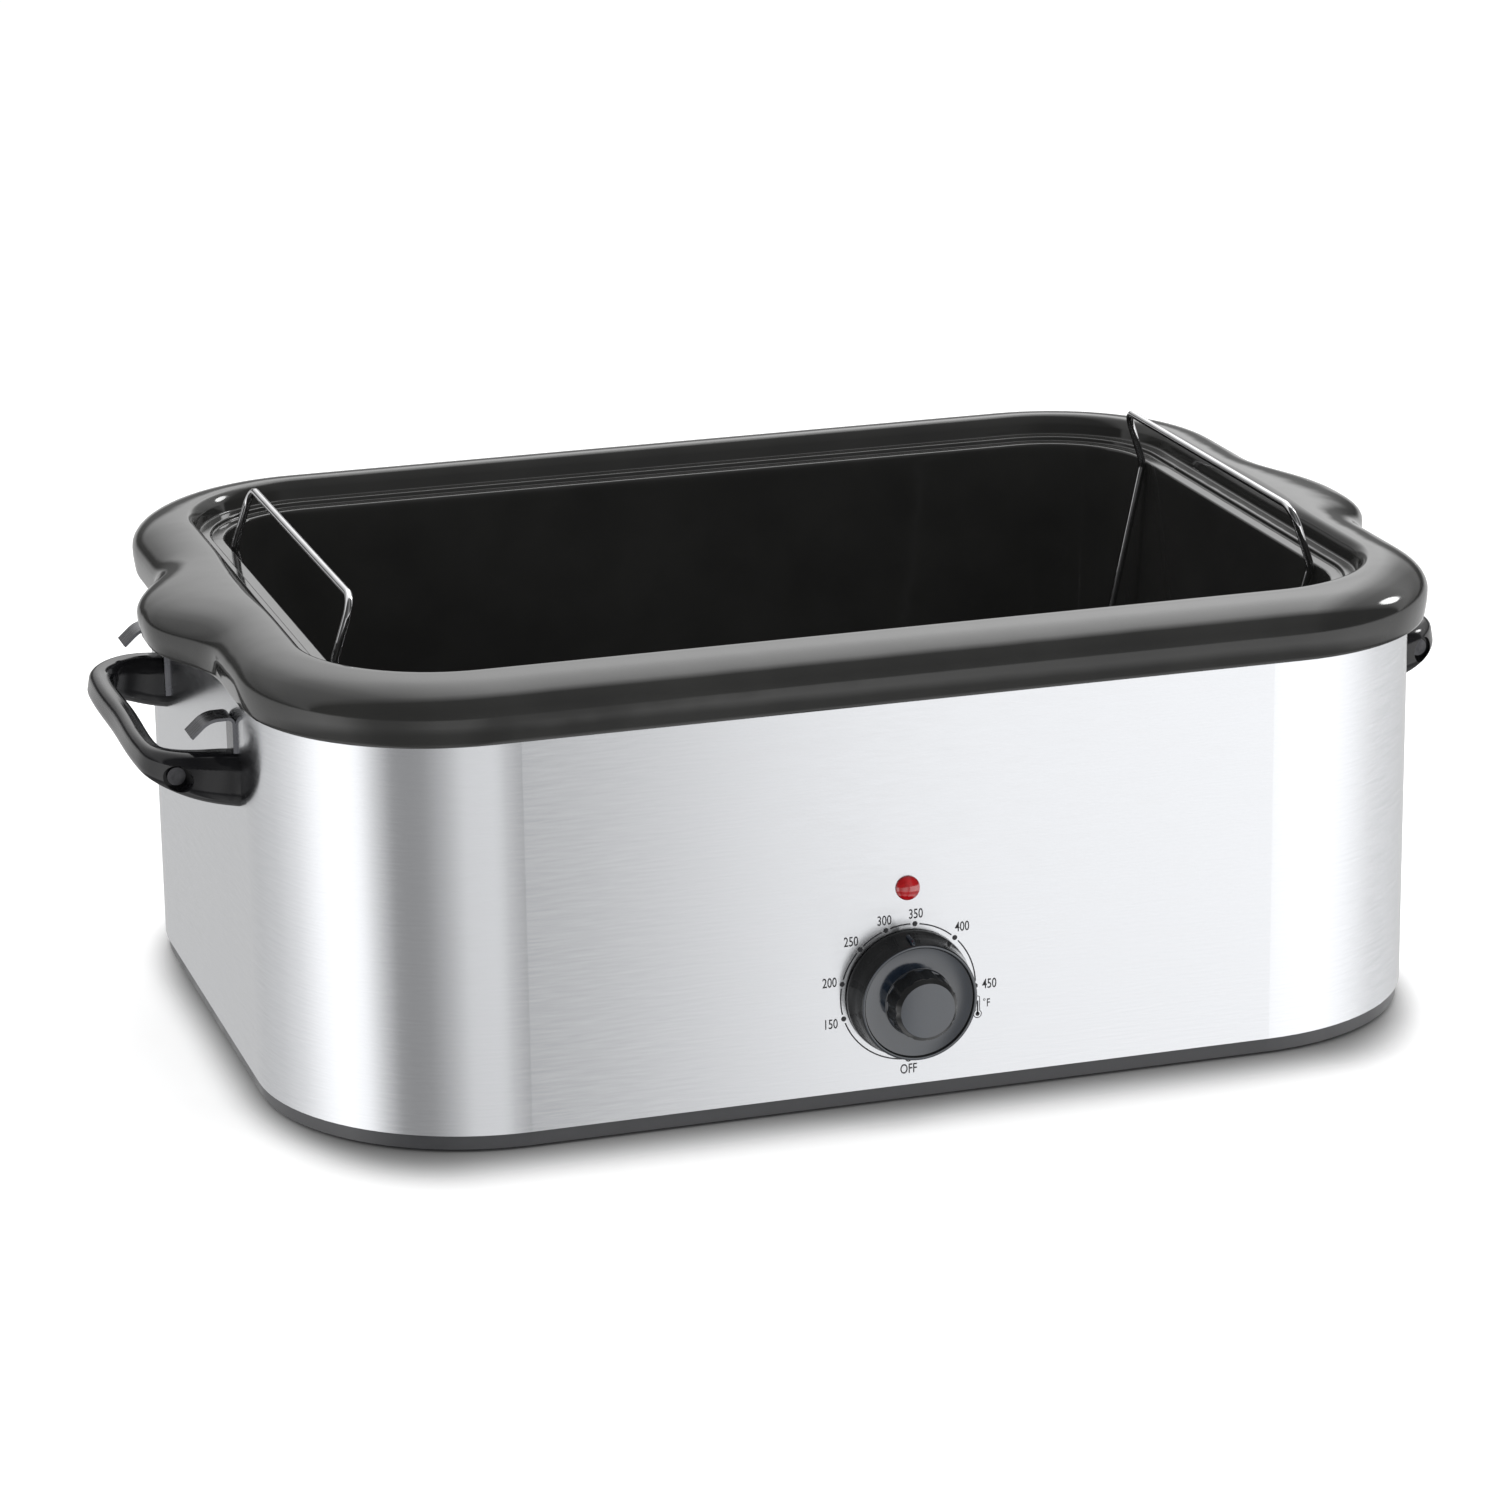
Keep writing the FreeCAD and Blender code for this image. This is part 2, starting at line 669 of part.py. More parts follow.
def band_clips():
    """Steel hooks over the band: a strip down its outer face and a lip back to the well."""
    places = [("along_x", sx, sy) for sx, sy in SIGNS] + [("end", 1, 0), ("end", -1, 0)]
    strip_height = "band_height + clip_overlap"
    clips = []
    for n, (kind, sx, sy) in enumerate(places):
        if kind == "along_x":
            side, wall = sy, "shell_half_width"
            middle_of = lambda offset: (f"{sx} * clip_place", f"{side} * ({wall} + {offset})")
            sizes_of = lambda depth: ("clip_width", depth)
        else:
            side, wall = sx, "shell_half_length"
            middle_of = lambda offset: (f"{side} * ({wall} + {offset})", "0")
            sizes_of = lambda depth: (depth, "clip_width")
        strip = slab(f"clip_strip_{n}",
                     (*middle_of("clip_offset + clip_wall / 2"), f"band_level + ({strip_height}) / 2"),
                     (*sizes_of("clip_wall"), strip_height))
        lip = slab(f"clip_lip_{n}", (*middle_of("(clip_offset + clip_wall) / 2"),
                                     f"band_level + {strip_height} - clip_wall / 2"),
                   (*sizes_of("clip_offset + clip_wall"), "clip_wall"))
        clips.append(joined(f"clip_{n}", [strip, lip]))
    keep(group("band_clips", clips), "band_clips")


def blanket_and_shield():
    blanket = sleeve("insulation_blanket", "blanket_offset", "blanket_offset + blanket_thickness",
                     "well_floor + blanket_start", "blanket_height")
    keep(blanket, "insulation_blanket")
    plate = body("shield_sheet")
    pad(plate, well_outline(plate, "shield_outline", "0 - shield_inset", "shield_level"), "shield_wall")
    holes = [rod(f"shield_hole_{n}", "post_tip_radius + fit_gap", "shield_wall",
                 (f"{sx} * post_place_x", f"{sy} * post_place_y", "shield_level"))
             for n, (sx, sy) in enumerate(SIGNS)]
    keep(cut("heat_shield", plate, holes), "heat_shield")


# ---------------------------------------------------------------------------------------------
# Roasting pan: one pressed sheet that follows a profile round the opening
# ---------------------------------------------------------------------------------------------
def pan_ring(half_x, half_y, corner, ear, level):
    """Closed outline of the pan at one level, with an ear in the middle of each end."""
    flat = number("ear_half_flat")
    flank = number("ear_flank")
    root = flat + flank
    ease = 0.45 * flank
    mid = corner * (1 - math.sqrt(0.5))
    at = lambda x, y: Vector(x, y, level)
    line = lambda p, q: Part.LineSegment(p, q).toShape()

    def flank_curve(side):
        """S-curve from the ear's flat to the straight part of the end."""
        curve = Part.BezierCurve()
        curve.setPoles([at(side * (half_x + ear), flat), at(side * (half_x + ear), flat + ease),
                        at(side * half_x, root - ease), at(side * half_x, root)])
        return curve.toShape()

    def corner_arc(side):
        return Part.Arc(at(side * half_x, half_y - corner), at(side * (half_x - mid), half_y - mid),
                        at(side * (half_x - corner), half_y)).toShape()

    half = [
        line(at(half_x + ear, -flat), at(half_x + ear, flat)),
        flank_curve(1),
        line(at(half_x, root), at(half_x, half_y - corner)),
        corner_arc(1),
        line(at(half_x - corner, half_y), at(corner - half_x, half_y)),
        corner_arc(-1),
        line(at(-half_x, half_y - corner), at(-half_x, root)),
        flank_curve(-1),
    ]
    other = [edge.rotated(Vector(), Vector(0, 0, 1), 180) for edge in half]
    return Part.Wire(half + other)


def pan_profile():
    """Cooking side of the sheet, from the floor over the rim: (distance out from the opening, level)."""
    floor, seat, ledge = number("pan_floor"), number("seat_level"), number("ledge_level")
    edge, crest = number("edge_level"), number("crest_level")
    inset, radius = number("pan_inset"), number("pan_floor_corner")
    ledge_width, rim_width = number("ledge_width"), number("rim_end_width")
    side_drop, ease, slope = number("rim_side_drop"), number("press_ease"), number("ledge_slope")
    wall_foot = inset + number("pan_draft")
    crest_out = number("crest_share") * rim_width
    points = []
    for turn in (90, 60, 30, 0):
        angle = math.radians(turn)
        points.append((-wall_foot - radius * (1 - math.cos(angle)), floor + radius * (1 - math.sin(angle))))
    points += [(-inset, seat - ease), (ease - inset, seat), (-ledge_width - ease / 2, seat + slope),
               (-ledge_width, ledge), (-ease, ledge + slope), (-ease / 2, edge - ease), (ease / 2, edge)]
    points += [(crest_out * (1 - part), crest - (crest - edge) * part ** 2) for part in (0.66, 0.33, 0)]
    for turn in (22.5, 45, 67.5, 90):
        angle = math.radians(turn)
        points.append((crest_out + (rim_width - crest_out) * math.sin(angle),
                       crest - side_drop * (1 - math.cos(angle))))
    points.append((rim_width - number("skirt_draft"), crest - number("skirt_drop")))
    return points


def sheet_back(points, thickness):
    """The other face of a sheet: each corner of the profile moved square to its two neighbours."""
    moved = []
    for i, (out, level) in enumerate(points):
        normals = []
        for start, end in ((i - 1, i), (i, i + 1)):
            if 0 <= start and end < len(points):
                run = (Vector(*points[end]) - Vector(*points[start])).normalize()
                normals.append(Vector(run.y, -run.x, 0))
        middle = sum(normals[1:], normals[0]).normalize()
        shift = middle * (thickness / middle.dot(normals[0]))
        moved.append((out + shift.x, level + shift.y))
    return moved


def roasting_pan():
    length, width = number("opening_half_length"), number("opening_half_width")
    corner, rim_corner = number("opening_corner"), number("rim_corner")
    end_width, side_width = number("rim_end_width"), number("rim_side_width")
    ear_reach = number("ear_reach")

    def ring(out, level):
        if out <= 0:
            return pan_ring(length + out, width + out, corner + out, 0, level)
        share = out / end_width
        return pan_ring(length + out, width + share * side_width, corner + share * (rim_corner - corner),
                        ear_reach * share, level)

    front = pan_profile()
    back = sheet_back(front, number("pan_wall"))
    rings = [ring(out, level) for out, level in front + back[::-1]]
    keep(pressed("roasting_pan", Part.makeLoft(rings, True, True)), "roasting_pan")


# ---------------------------------------------------------------------------------------------
# Rack and its two folding handles
# ---------------------------------------------------------------------------------------------
def rack_frame():
    """Closed loop with cross wires welded on top of it, two long wires between its ends, and four feet."""
    level = "hinge_level"
    corners = [(f"{sx} * rack_half_length", f"{sy} * rack_half_width", level)
               for sx, sy in ((1, -1), (1, 1), (-1, 1), (-1, -1))]
    start = ("0", "0 - rack_half_width", level)
    loop = bent_wire(spots(start, *corners, start), number("rack_corner"), number("frame_wire"))
    cross_level = "hinge_level + frame_wire + cross_wire - weld_sink"
    wires = []
    for n in range(int(number("cross_count"))):
        x = f"({n} - (cross_count - 1) / 2) * cross_pitch"
        ends = [(x, f"{side} * (rack_half_width + cross_overhang)", cross_level) for side in (-1, 1)]
        wires.append(straight_wire(*spots(*ends), number("cross_wire")))
    for side in (-1, 1):
        ends = [(f"{end} * rack_half_length", f"{side} * long_wire_place", level) for end in (-1, 1)]
        wires.append(straight_wire(*spots(*ends), number("cross_wire")))
    foot_level = "pan_floor + lift_clearance + cross_wire"
    for sx, sy in SIGNS:
        near = f"{sx} * (rack_foot_place - rack_foot_half_width)"
        far = f"{sx} * (rack_foot_place + rack_foot_half_width)"
        y = f"{sy} * rack_half_width"
        path = spots((near, y, level), (near, y, foot_level), (far, y, foot_level), (far, y, level))
        wires.append(bent_wire(path, number("rack_foot_bend"), number("cross_wire")))
    keep(pressed("rack_frame", loop.multiFuse(wires)), "rack_frame")


def rack_handle(side, node):
    """Wire bail with an open eye round the rack's end wire at the foot of each leg."""
    eye = number("eye_radius")
    hinge_x, hinge_z = side * number("rack_half_length"), number("hinge_level")
    kink = Vector(side * number("bail_kink_reach"), number("bail_kink_place"),
                  number("hinge_level + bail_kink_rise"))
    top = Vector(side * number("bail_kink_reach - bail_top_inset"), number("bail_top_place"),
                 number("hinge_level + bail_top_rise"))
    lean = math.atan2(abs(kink.x - hinge_x), kink.z - hinge_z)
    eye_y = number("bail_eye_place")

    def on_eye(turn, y):
        """Point of the eye's circle, at an angle from where the leg leaves it."""
        angle = turn - lean
        return Vector(hinge_x + side * eye * math.cos(angle), y, hinge_z + eye * math.sin(angle))

    def eye_arc(y, turns):
        return Part.Arc(*(on_eye(math.radians(turn), y) for turn in turns)).toShape()

    open_turn = number("bail_eye_opening")
    mirrored = lambda point: Vector(point.x, -point.y, point.z)
    foot = on_eye(0, eye_y)
    legs = [foot, kink, top, mirrored(top), mirrored(kink), mirrored(foot)]
    turns = (open_turn, (open_turn + 360) / 2, 360)
    leg_bends = [number("bail_bend")] * 4
    edges = [eye_arc(eye_y, turns), *bent_path(legs, leg_bends), eye_arc(-eye_y, turns[::-1])]
    keep(pressed(node, round_wire(edges, number("bail_wire"))), node)


# ---------------------------------------------------------------------------------------------
# Thermostat, control shaft and knob
# ---------------------------------------------------------------------------------------------
def thermostat():
    level = "control_level"
    back_of_bracket = "0 - bracket_face"
    screw_places = [f"{side} * thermostat_screw_place" for side in (-1, 1)]

    plate = slab("bracket_plate", ("0", "0 - inner_half_width + bracket_wall / 2", level),
                 ("bracket_width", "bracket_wall", "bracket_height"))
    cheeks = [slab(f"bracket_cheek_{side + 1}",
                   (f"{side} * (thermostat_width / 2 + fit_gap + bracket_wall / 2)",
                    "0 - bracket_face + thermostat_depth / 3", level),
                   ("bracket_wall", "thermostat_depth * 2 / 3", "thermostat_height")) for side in (-1, 1)]
    holes = [rod("bracket_neck_hole", "neck_radius + fit_gap", "bracket_wall",
                 ("0", "0 - inner_half_width", level), "+y")]
    holes += [rod(f"bracket_screw_hole_{n}", "thermostat_screw_radius + fit_gap", "bracket_wall",
                  (x, "0 - inner_half_width", level), "+y") for n, x in enumerate(screw_places)]
    keep(cut("thermostat_bracket", joined("bracket_blank", [plate, *cheeks]), holes), "thermostat_bracket")

    case = slab("thermostat_case", ("0", "0 - bracket_face + thermostat_depth / 2", level),
                ("thermostat_width", "thermostat_depth", "thermostat_height"))
    neck = rod("thermostat_neck", "neck_radius", "wrap_half_width + neck_reach - bracket_face",
               ("0", back_of_bracket, level), "-y")
    bore = rod("thermostat_bore", "shaft_radius + running_gap", "neck_reach + shaft_depth + fit_gap",
               ("0", "0 - wrap_half_width - neck_reach", level), "+y")
    threads = [rod(f"thermostat_thread_{n}", "thermostat_screw_radius + running_gap",
                   "thermostat_screw_length", (x, back_of_bracket, level), "+y")
               for n, x in enumerate(screw_places)]
    blank = joined("thermostat_blank", [case, neck])
    keep(cut("thermostat_body", blank, [bore, *threads]), "thermostat_body")

    screws = [joined(f"thermostat_screw_{n}", [
        rod(f"thermostat_screw_head_{n}", "thermostat_screw_head_radius", "thermostat_screw_head_height",
            (x, "0 - wrap_half_width", level), "-y"),
        rod(f"thermostat_screw_shank_{n}", "thermostat_screw_radius", "thermostat_screw_length",
            (x, "0 - wrap_half_width", level), "+y")]) for n, x in enumerate(screw_places)]
    keep(group("thermostat_screws", screws), "thermostat_screws")

    arm_length = "thermostat_back - shell_half_width - fit_gap"
    arm = slab("sensor_arm", ("0", f"0 - thermostat_back + ({arm_length}) / 2", "sensor_level"),
               ("2 * sensor_half_width", arm_length, "clip_wall"))
    foot = slab("sensor_foot", ("0", "0 - shell_half_width - fit_gap - clip_wall / 2", "sensor_level"),
                ("2 * sensor_half_width", "clip_wall", "sensor_foot_height"))
    keep(joined("sensor_strip", [arm, foot]), "sensor_strip")


def control_placement(thing):
    """Turns a piece made along Z to face the front, with the pointer at its resting angle."""
    turned = FACING["-y"].multiply(FreeCAD.Rotation(Vector(0, 0, 1), number("pointer_rest")))
    return place(thing, ("0", "0 - wrap_half_width", "control_level"), turned)


def flatted_rod(name, radius, length, start, flat_start):
    """Round shaft along Z, with a flat from one height to its end."""
    round_part = rod(name + "_round", radius, length, ("0", "0", start))
    off = block(name + "_flat", (f"0 - ({radius})", "shaft_flat", flat_start),
                (f"2 * ({radius})", radius, f"{start} + {length} - ({flat_start})"))
    return cut(name, round_part, [off])


def control_shaft():
    shaft = flatted_rod("control_shaft", "shaft_radius", "shaft_depth + shaft_reach", "0 - shaft_depth",
                        "neck_reach + knob_gap")
    keep(control_placement(shaft), "control_shaft")


def control_knob():
    turned = body("knob_turned")
    profile = new_sketch(turned, "knob_profile", role="XZ_Plane")
    top = "knob_gap + knob_depth"
    polygon(profile, [
        ("0", "knob_gap + knob_wall * 3"),
        ("knob_skirt_radius - knob_wall * 1.5", "knob_gap + knob_wall * 3"),
        ("knob_skirt_radius - knob_wall", "knob_gap"), ("knob_skirt_radius", "knob_gap"),
        ("knob_skirt_radius - 0.2", "knob_gap + 2"), ("knob_waist_radius + 0.6", "knob_gap + 4.5"),
        ("knob_waist_radius", "knob_gap + 7"), ("knob_face_radius", f"{top} - 0.8"),
        ("knob_face_radius - 0.8", top), ("knob_face_radius - knob_lip", top),
        ("knob_face_radius - knob_lip - 0.4", f"{top} - knob_lip_depth"),
        ("grip_radius", f"{top} - knob_lip_depth"), ("grip_end_radius", f"{top} + grip_depth - 2"),
        ("grip_end_radius - 0.6", f"{top} + grip_depth - 0.6"),
        ("grip_end_radius - 2", f"{top} + grip_depth"), ("0", f"{top} + grip_depth"),
    ])
    spin = turned.newObject("PartDesign::Revolution", "knob_spin")
    spin.Profile = profile
    spin.ReferenceAxis = (profile, ["V_Axis"])
    spin.Angle = 360
    flute = new_sketch(turned, "flute_section", level=f"{top} + grip_depth")
    centre = "grip_radius + flute_radius - flute_depth"
    section = Part.Circle(Vector(number(centre), 0, 0), Vector(0, 0, 1), number("flute_radius"))
    flute.addGeometry(section, False)
    flute.addConstraint(Sketcher.Constraint("PointOnObject", 0, 3, -1))
    dimension(flute, "DistanceX", (-1, 1, 0, 3), centre)
    dimension(flute, "Radius", (0,), "flute_radius")
    groove = pocket(turned, flute, "grip_depth")
    ring = turned.newObject("PartDesign::PolarPattern", "flutes")
    ring.Originals = [groove]
    ring.Axis = (origin_feature(turned, "Z_Axis"), [""])
    ring.Angle = 360
    bind(ring, "Occurrences", "flute_count")
    turned.Tip = ring
    pointer = block("knob_pointer",
                    ("0 - pointer_width / 2", "knob_face_radius - knob_wall", "knob_gap + 5"),
                    ("pointer_width", "knob_wall + pointer_rise + 1.2", f"{top} - knob_gap - 6"))
    bore = flatted_rod("knob_bore", "shaft_radius + running_gap", "shaft_reach", "0", "0")
    knob = cut("control_knob", joined("knob_blank", [turned, pointer]), [bore])
    keep(control_placement(knob), "control_knob")


# ---------------------------------------------------------------------------------------------
# Pilot lamp
# ---------------------------------------------------------------------------------------------
def pilot_lamp():
    level = "lamp_level"
    ball_radius = "(lens_radius * lens_radius + lens_bulge * lens_bulge) / (2 * lens_bulge)"
    ball = doc.addObject("Part::Sphere", "lens_ball")
    bind(ball, "Radius", ball_radius)
    place(ball, ("0", f"0 - wrap_half_width + {ball_radius} - lens_bulge", level))
    cap = rod("lens_cap", "lens_radius", "lens_bulge", ("0", "0 - wrap_half_width", level), "-y")
    dome = doc.addObject("Part::Common", "lens_dome")
    dome.Base = ball
    dome.Tool = cap
    neck = rod("lens_neck", "lens_neck_radius", "lens_neck_length",
               ("0", "0 - wrap_half_width", level), "+y")
    bore = rod("lens_bore", "lens_neck_radius - lens_wall", "lens_neck_length",
               ("0", "0 - wrap_half_width + lens_wall", level), "+y")
    keep(cut("pilot_lens", joined("lens_blank", [dome, neck]), [bore]), "pilot_lens")
    bulb = rod("lamp_bulb", "lens_neck_radius - lens_wall - fit_gap", "bulb_length",
               ("0", "0 - wrap_half_width + lens_wall + fit_gap", level), "+y")
    keep(bulb, "lamp_bulb")
    keep(tube("lens_clip", "lens_clip_radius", "lens_neck_radius + running_gap", "clip_wall",
              ("0", "0 - inner_half_width", level), "+y"), "lens_clip")


# ---------------------------------------------------------------------------------------------
# Side handles, their brackets and screws, and the lid hooks
# ---------------------------------------------------------------------------------------------
TONGUE_SLOT = ("tongue_wall + 2 * fit_gap", "tongue_height + 2 * fit_gap")


def handle_path():
    """The loop seen from above: (distance from the wrap, place along it, heading, share of the taper)."""
    turn = number("handle_turn")
    grip_out = number("handle_reach - grip_width / 2")
    arm_place = number("handle_half_span - arm_width / 2")
    straight = grip_out - turn
    length = straight + turn * math.pi / 2
    path = [(-number("handle_root"), arm_place, 0, 0), (0, arm_place, 0, 0)]
    for degrees in (0, 18, 36, 54, 72, 90):
        angle = math.radians(degrees)
        share = (straight + turn * angle) / length
        path.append((straight + turn * math.sin(angle), arm_place - turn * (1 - math.cos(angle)), degrees,
                     share * share * (3 - 2 * share)))
    way_back = [(out, -along, 180 - heading, taper) for out, along, heading, taper in path[::-1]]
    return [*path, (grip_out, 0, 90, 1), *way_back]


def handle_section(out, along, heading, taper):
    """Upright rounded rectangle across the path."""
    width, height = (number(f"arm_{size}") * (1 - taper) + number(f"grip_{size}") * taper
                     for size in ("width", "height"))
    corner = number("handle_rounding") * width
    side = Vector(math.sin(math.radians(heading)), math.cos(math.radians(heading)), 0)
    at = lambda across, up: Vector(out, along, up) + side * across
    ease = corner * (1 - math.sqrt(0.5))
    a, b = width / 2, height / 2
    edges = []
    for sx, sy in SIGNS:
        on_side, on_top = at(sx * a, sy * (b - corner)), at(sx * (a - corner), sy * b)
        on_arc = at(sx * (a - ease), sy * (b - ease))
        if sx == sy:
            edges.append(Part.Arc(on_side, on_arc, on_top).toShape())
            edges.append(Part.LineSegment(on_top, at(-sx * (a - corner), sy * b)).toShape())
        else:
            edges.append(Part.Arc(on_top, on_arc, on_side).toShape())
            edges.append(Part.LineSegment(on_side, at(sx * a, -sy * (b - corner))).toShape())
    return Part.Wire(edges)


def handle_loop(side, name):
    """Tapered loop, tilted up from the wrap's face."""
    loop = Part.makeLoft([handle_section(*station) for station in handle_path()], True, False)
    loop.rotate(Vector(), Vector(0, -1, 0), number("handle_tilt"))
    loop.translate(spots(("wrap_half_length", "0", "handle_level"))[0])
    if side < 0:
        loop.rotate(Vector(), Vector(0, 0, 1), 180)
    return pressed(name, loop)


def side_handle(side, word):
    """Moulded handle: the part of the loop outside the wrap, with sockets and screw recesses."""
    loop = handle_loop(side, f"handle_loop_{word}")
    trim = slab(f"handle_trim_{word}", (f"{side} * (wrap_half_length - handle_root)", "0", "handle_level"),
                ("2 * handle_root", "3 * handle_half_span", "2 * arm_height"))
    tools = [trim]
    screws, hooks = [], []
    for end in (-1, 1):
        tag = f"{word}_{end + 1}"
        tongue_middle = f"{side} * (wrap_half_length + (tongue_reach + fit_gap) / 2)"
        tools.append(slab(f"handle_socket_{tag}",
                          (tongue_middle, f"{end} * tongue_place", "handle_level + tongue_lift"),
                          ("tongue_reach + fit_gap", *TONGUE_SLOT)))
        tools.append(slab(f"hook_notch_{tag}",
                          (f"{side} * (wrap_half_length + (hook_wall + fit_gap) / 2)", f"{end} * hook_place",
                           "handle_level + arm_height / 2"),
                          ("hook_wall + fit_gap", "hook_width + 2 * fit_gap",
                           "arm_height + 2 * (handle_level - hook_foot) + 2 * fit_gap")))
        x = f"{side} * (wrap_half_length + handle_screw_reach)"
        z = "handle_level + handle_screw_lift"
        floor = f"{end} * (handle_half_span - recess_depth)"
        outward, inward = ("+y", "-y") if end > 0 else ("-y", "+y")
        tools.append(rod(f"recess_{tag}", "recess_radius", "recess_depth", (x, floor, z), outward))
        tools.append(rod(f"handle_screw_hole_{tag}", "handle_screw_radius + running_gap",
                         "handle_screw_length", (x, floor, z), inward))
        screws.append(joined(f"handle_screw_{tag}", [
            rod(f"handle_screw_head_{tag}", "handle_screw_head_radius", "handle_screw_head_height",
                (x, floor, z), outward),
            rod(f"handle_screw_shank_{tag}", "handle_screw_radius", "handle_screw_length",
                (x, floor, z), inward)]))
        hooks.append(lid_hook(side, end, f"lid_hook_{tag}"))
    keep(cut(f"side_handle_{word}", loop, tools), f"side_handle_{word}")
    keep(group(f"lid_hooks_{word}", hooks), f"lid_hooks_{word}")
    return screws


def lid_hook(side, end, name):
    """Spring steel strip up the wrap's face, held by the handle's tongue, with a tip that curls down."""
    centre = "wrap_half_length + hook_wall / 2"
    y = f"{end} * hook_place"
    points = spots((centre, y, "hook_foot"), (centre, y, "hook_level"),
                   (f"{centre} + hook_shelf", y, "hook_level"),
                   (f"{centre} + hook_reach", y, "hook_level - hook_tip_drop"))
    path = Part.Wire(bent_path(points, [number("hook_bend"), number("hook_curl")]))
    start = points[0]
    half_width, half_wall = number("hook_width / 2"), number("hook_wall / 2")
    corners = [start + Vector(dx * half_wall, dy * half_width, 0) for dx, dy in SIGNS]
    section = Part.makePolygon(corners + corners[:1])
    slot = Part.makeBox(2 * half_wall, *(number(size) for size in TONGUE_SLOT))
    slot.translate(spots(("wrap_half_length", f"{end} * tongue_place - tongue_wall / 2 - fit_gap",
                          "handle_level + tongue_lift - tongue_height / 2 - fit_gap"))[0])
    strip = path.makePipeShell([section], True, False).cut(slot)
    if side < 0:
        strip = strip.mirror(Vector(), Vector(1, 0, 0))
    return pressed(name, strip)


def handle_bracket(side, word):
    """Steel plate inside the wrap with two tongues that pass out into the handle's arms."""
    z = "handle_level + tongue_lift"
    plate = slab(f"bracket_backing_{word}",
                 (f"{side} * (inner_half_length - handle_plate_wall / 2)", "0", z),
                 ("handle_plate_wall", "2 * (tongue_place + tongue_height)", "2 * tongue_height"))
    length = "tongue_reach + wrap_wall"
    tongues, holes = [], []
    for end in (-1, 1):
        tongues.append(slab(f"tongue_{word}_{end + 1}",
                            (f"{side} * (inner_half_length + ({length}) / 2)", f"{end} * tongue_place", z),
                            (length, "tongue_wall", "tongue_height")))
        screw_spot = (f"{side} * (wrap_half_length + handle_screw_reach)",
                      f"{end} * tongue_place - tongue_wall / 2", "handle_level + handle_screw_lift")
        holes.append(rod(f"tongue_hole_{word}_{end + 1}", "handle_screw_radius + running_gap",
                         "tongue_wall", screw_spot, "+y"))
    keep(cut(f"handle_bracket_{word}", joined(f"bracket_steel_{word}", [plate, *tongues]), holes),
         f"handle_bracket_{word}")


# ---------------------------------------------------------------------------------------------
# Cord bushing, terminal block and lead wires
# ---------------------------------------------------------------------------------------------
def cord_entry():
    x, z = "0 - bushing_place", "bushing_level"
    flange = rod("bushing_flange_disc", "bushing_flange_radius", "bushing_flange",
                 (x, "wrap_half_width", z), "+y")
    neck = rod("bushing_neck", "bushing_radius", "bushing_depth", (x, "wrap_half_width", z), "-y")
    bore = rod("bushing_hole_through", "bushing_bore", "bushing_depth + bushing_flange",
               (x, "wrap_half_width - bushing_depth", z), "+y")
    keep(cut("cord_bushing", joined("bushing_blank", [flange, neck]), [bore]), "cord_bushing")
    keep(block("terminal_block",
               ("0 - block_place - block_half_length", "block_back - block_width", "base_top"),
               ("2 * block_half_length", "block_width", "block_height")), "terminal_block")


def lead_wires():
    """Three leads: supply to thermostat, thermostat to band, band back to the terminal block."""
    low, front = "lead_level", "0 - bracket_face + thermostat_depth / 2"
    pin = "0 - shell_half_width - fit_gap - band_thickness / 2"
    pin_end = "band_level - pin_length"
    case_foot = "control_level - thermostat_height / 2"
    block_front = "block_back - block_width"
    supply, back_lead, switched = "0 - block_place + 12", "0 - block_place - 12", "12"
    routes = (
        ((supply, block_front, low), (supply, "post_place_y", low), ("0 - 12", "0 - post_place_y", low),
         ("0 - 12", front, low), ("0 - 12", front, case_foot)),
        (("pin_place", pin, pin_end), ("pin_place", pin, low), (switched, front, low),
         (switched, front, case_foot)),
        (("0 - pin_place", pin, pin_end), ("0 - pin_place", pin, low),
         ("0 - pin_place - 8", "0 - post_place_y", low), (back_lead, "post_place_y", low),
         (back_lead, block_front, low)),
    )
    bend, radius = number("lead_bend"), number("lead_radius")
    leads = [bent_wire(spots(*route), bend, radius) for route in routes]
    keep(pressed("lead_wires", Part.makeCompound(leads)), "lead_wires")


# ---------------------------------------------------------------------------------------------
# The whole oven
# ---------------------------------------------------------------------------------------------
def build():
    base_plate()
    feet()
    posts_and_screws()
    outer_wrap()
    heating_well()
    heating_band()
    band_clips()
    blanket_and_shield()
    roasting_pan()
    rack_frame()
    rack_handle(-1, "rack_handle_left")
    rack_handle(1, "rack_handle_right")
    thermostat()
    control_shaft()
    control_knob()
    pilot_lamp()
    screws = side_handle(-1, "left") + side_handle(1, "right")
    keep(group("handle_screws", screws), "handle_screws")
    handle_bracket(-1, "left")
    handle_bracket(1, "right")
    cord_entry()
    lead_wires()


def write_parts():
    doc.recompute()
    for thing in doc.Objects:
        if "Invalid" in thing.State or "Error" in thing.State:
            raise RuntimeError(f"{thing.Label} failed: {thing.State}")
    os.makedirs("parts", exist_ok=True)
    for thing in NODES:
        shape = thing.Shape
        if shape.isNull() or not shape.isValid() or not shape.Solids:
            raise RuntimeError(f"{thing.Label} has no valid solid")
        shape.exportStep(f"parts/{thing.Label}.step")
        print(f"{thing.Label}: {len(shape.Solids)} solid(s), {shape.Volume / 1000:.2f} cm3")


build()
write_parts()
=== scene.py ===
"""Looks of the electric roaster oven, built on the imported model, in metres."""
import bmesh
import bpy
import numpy as np
from mathutils import Matrix, Vector


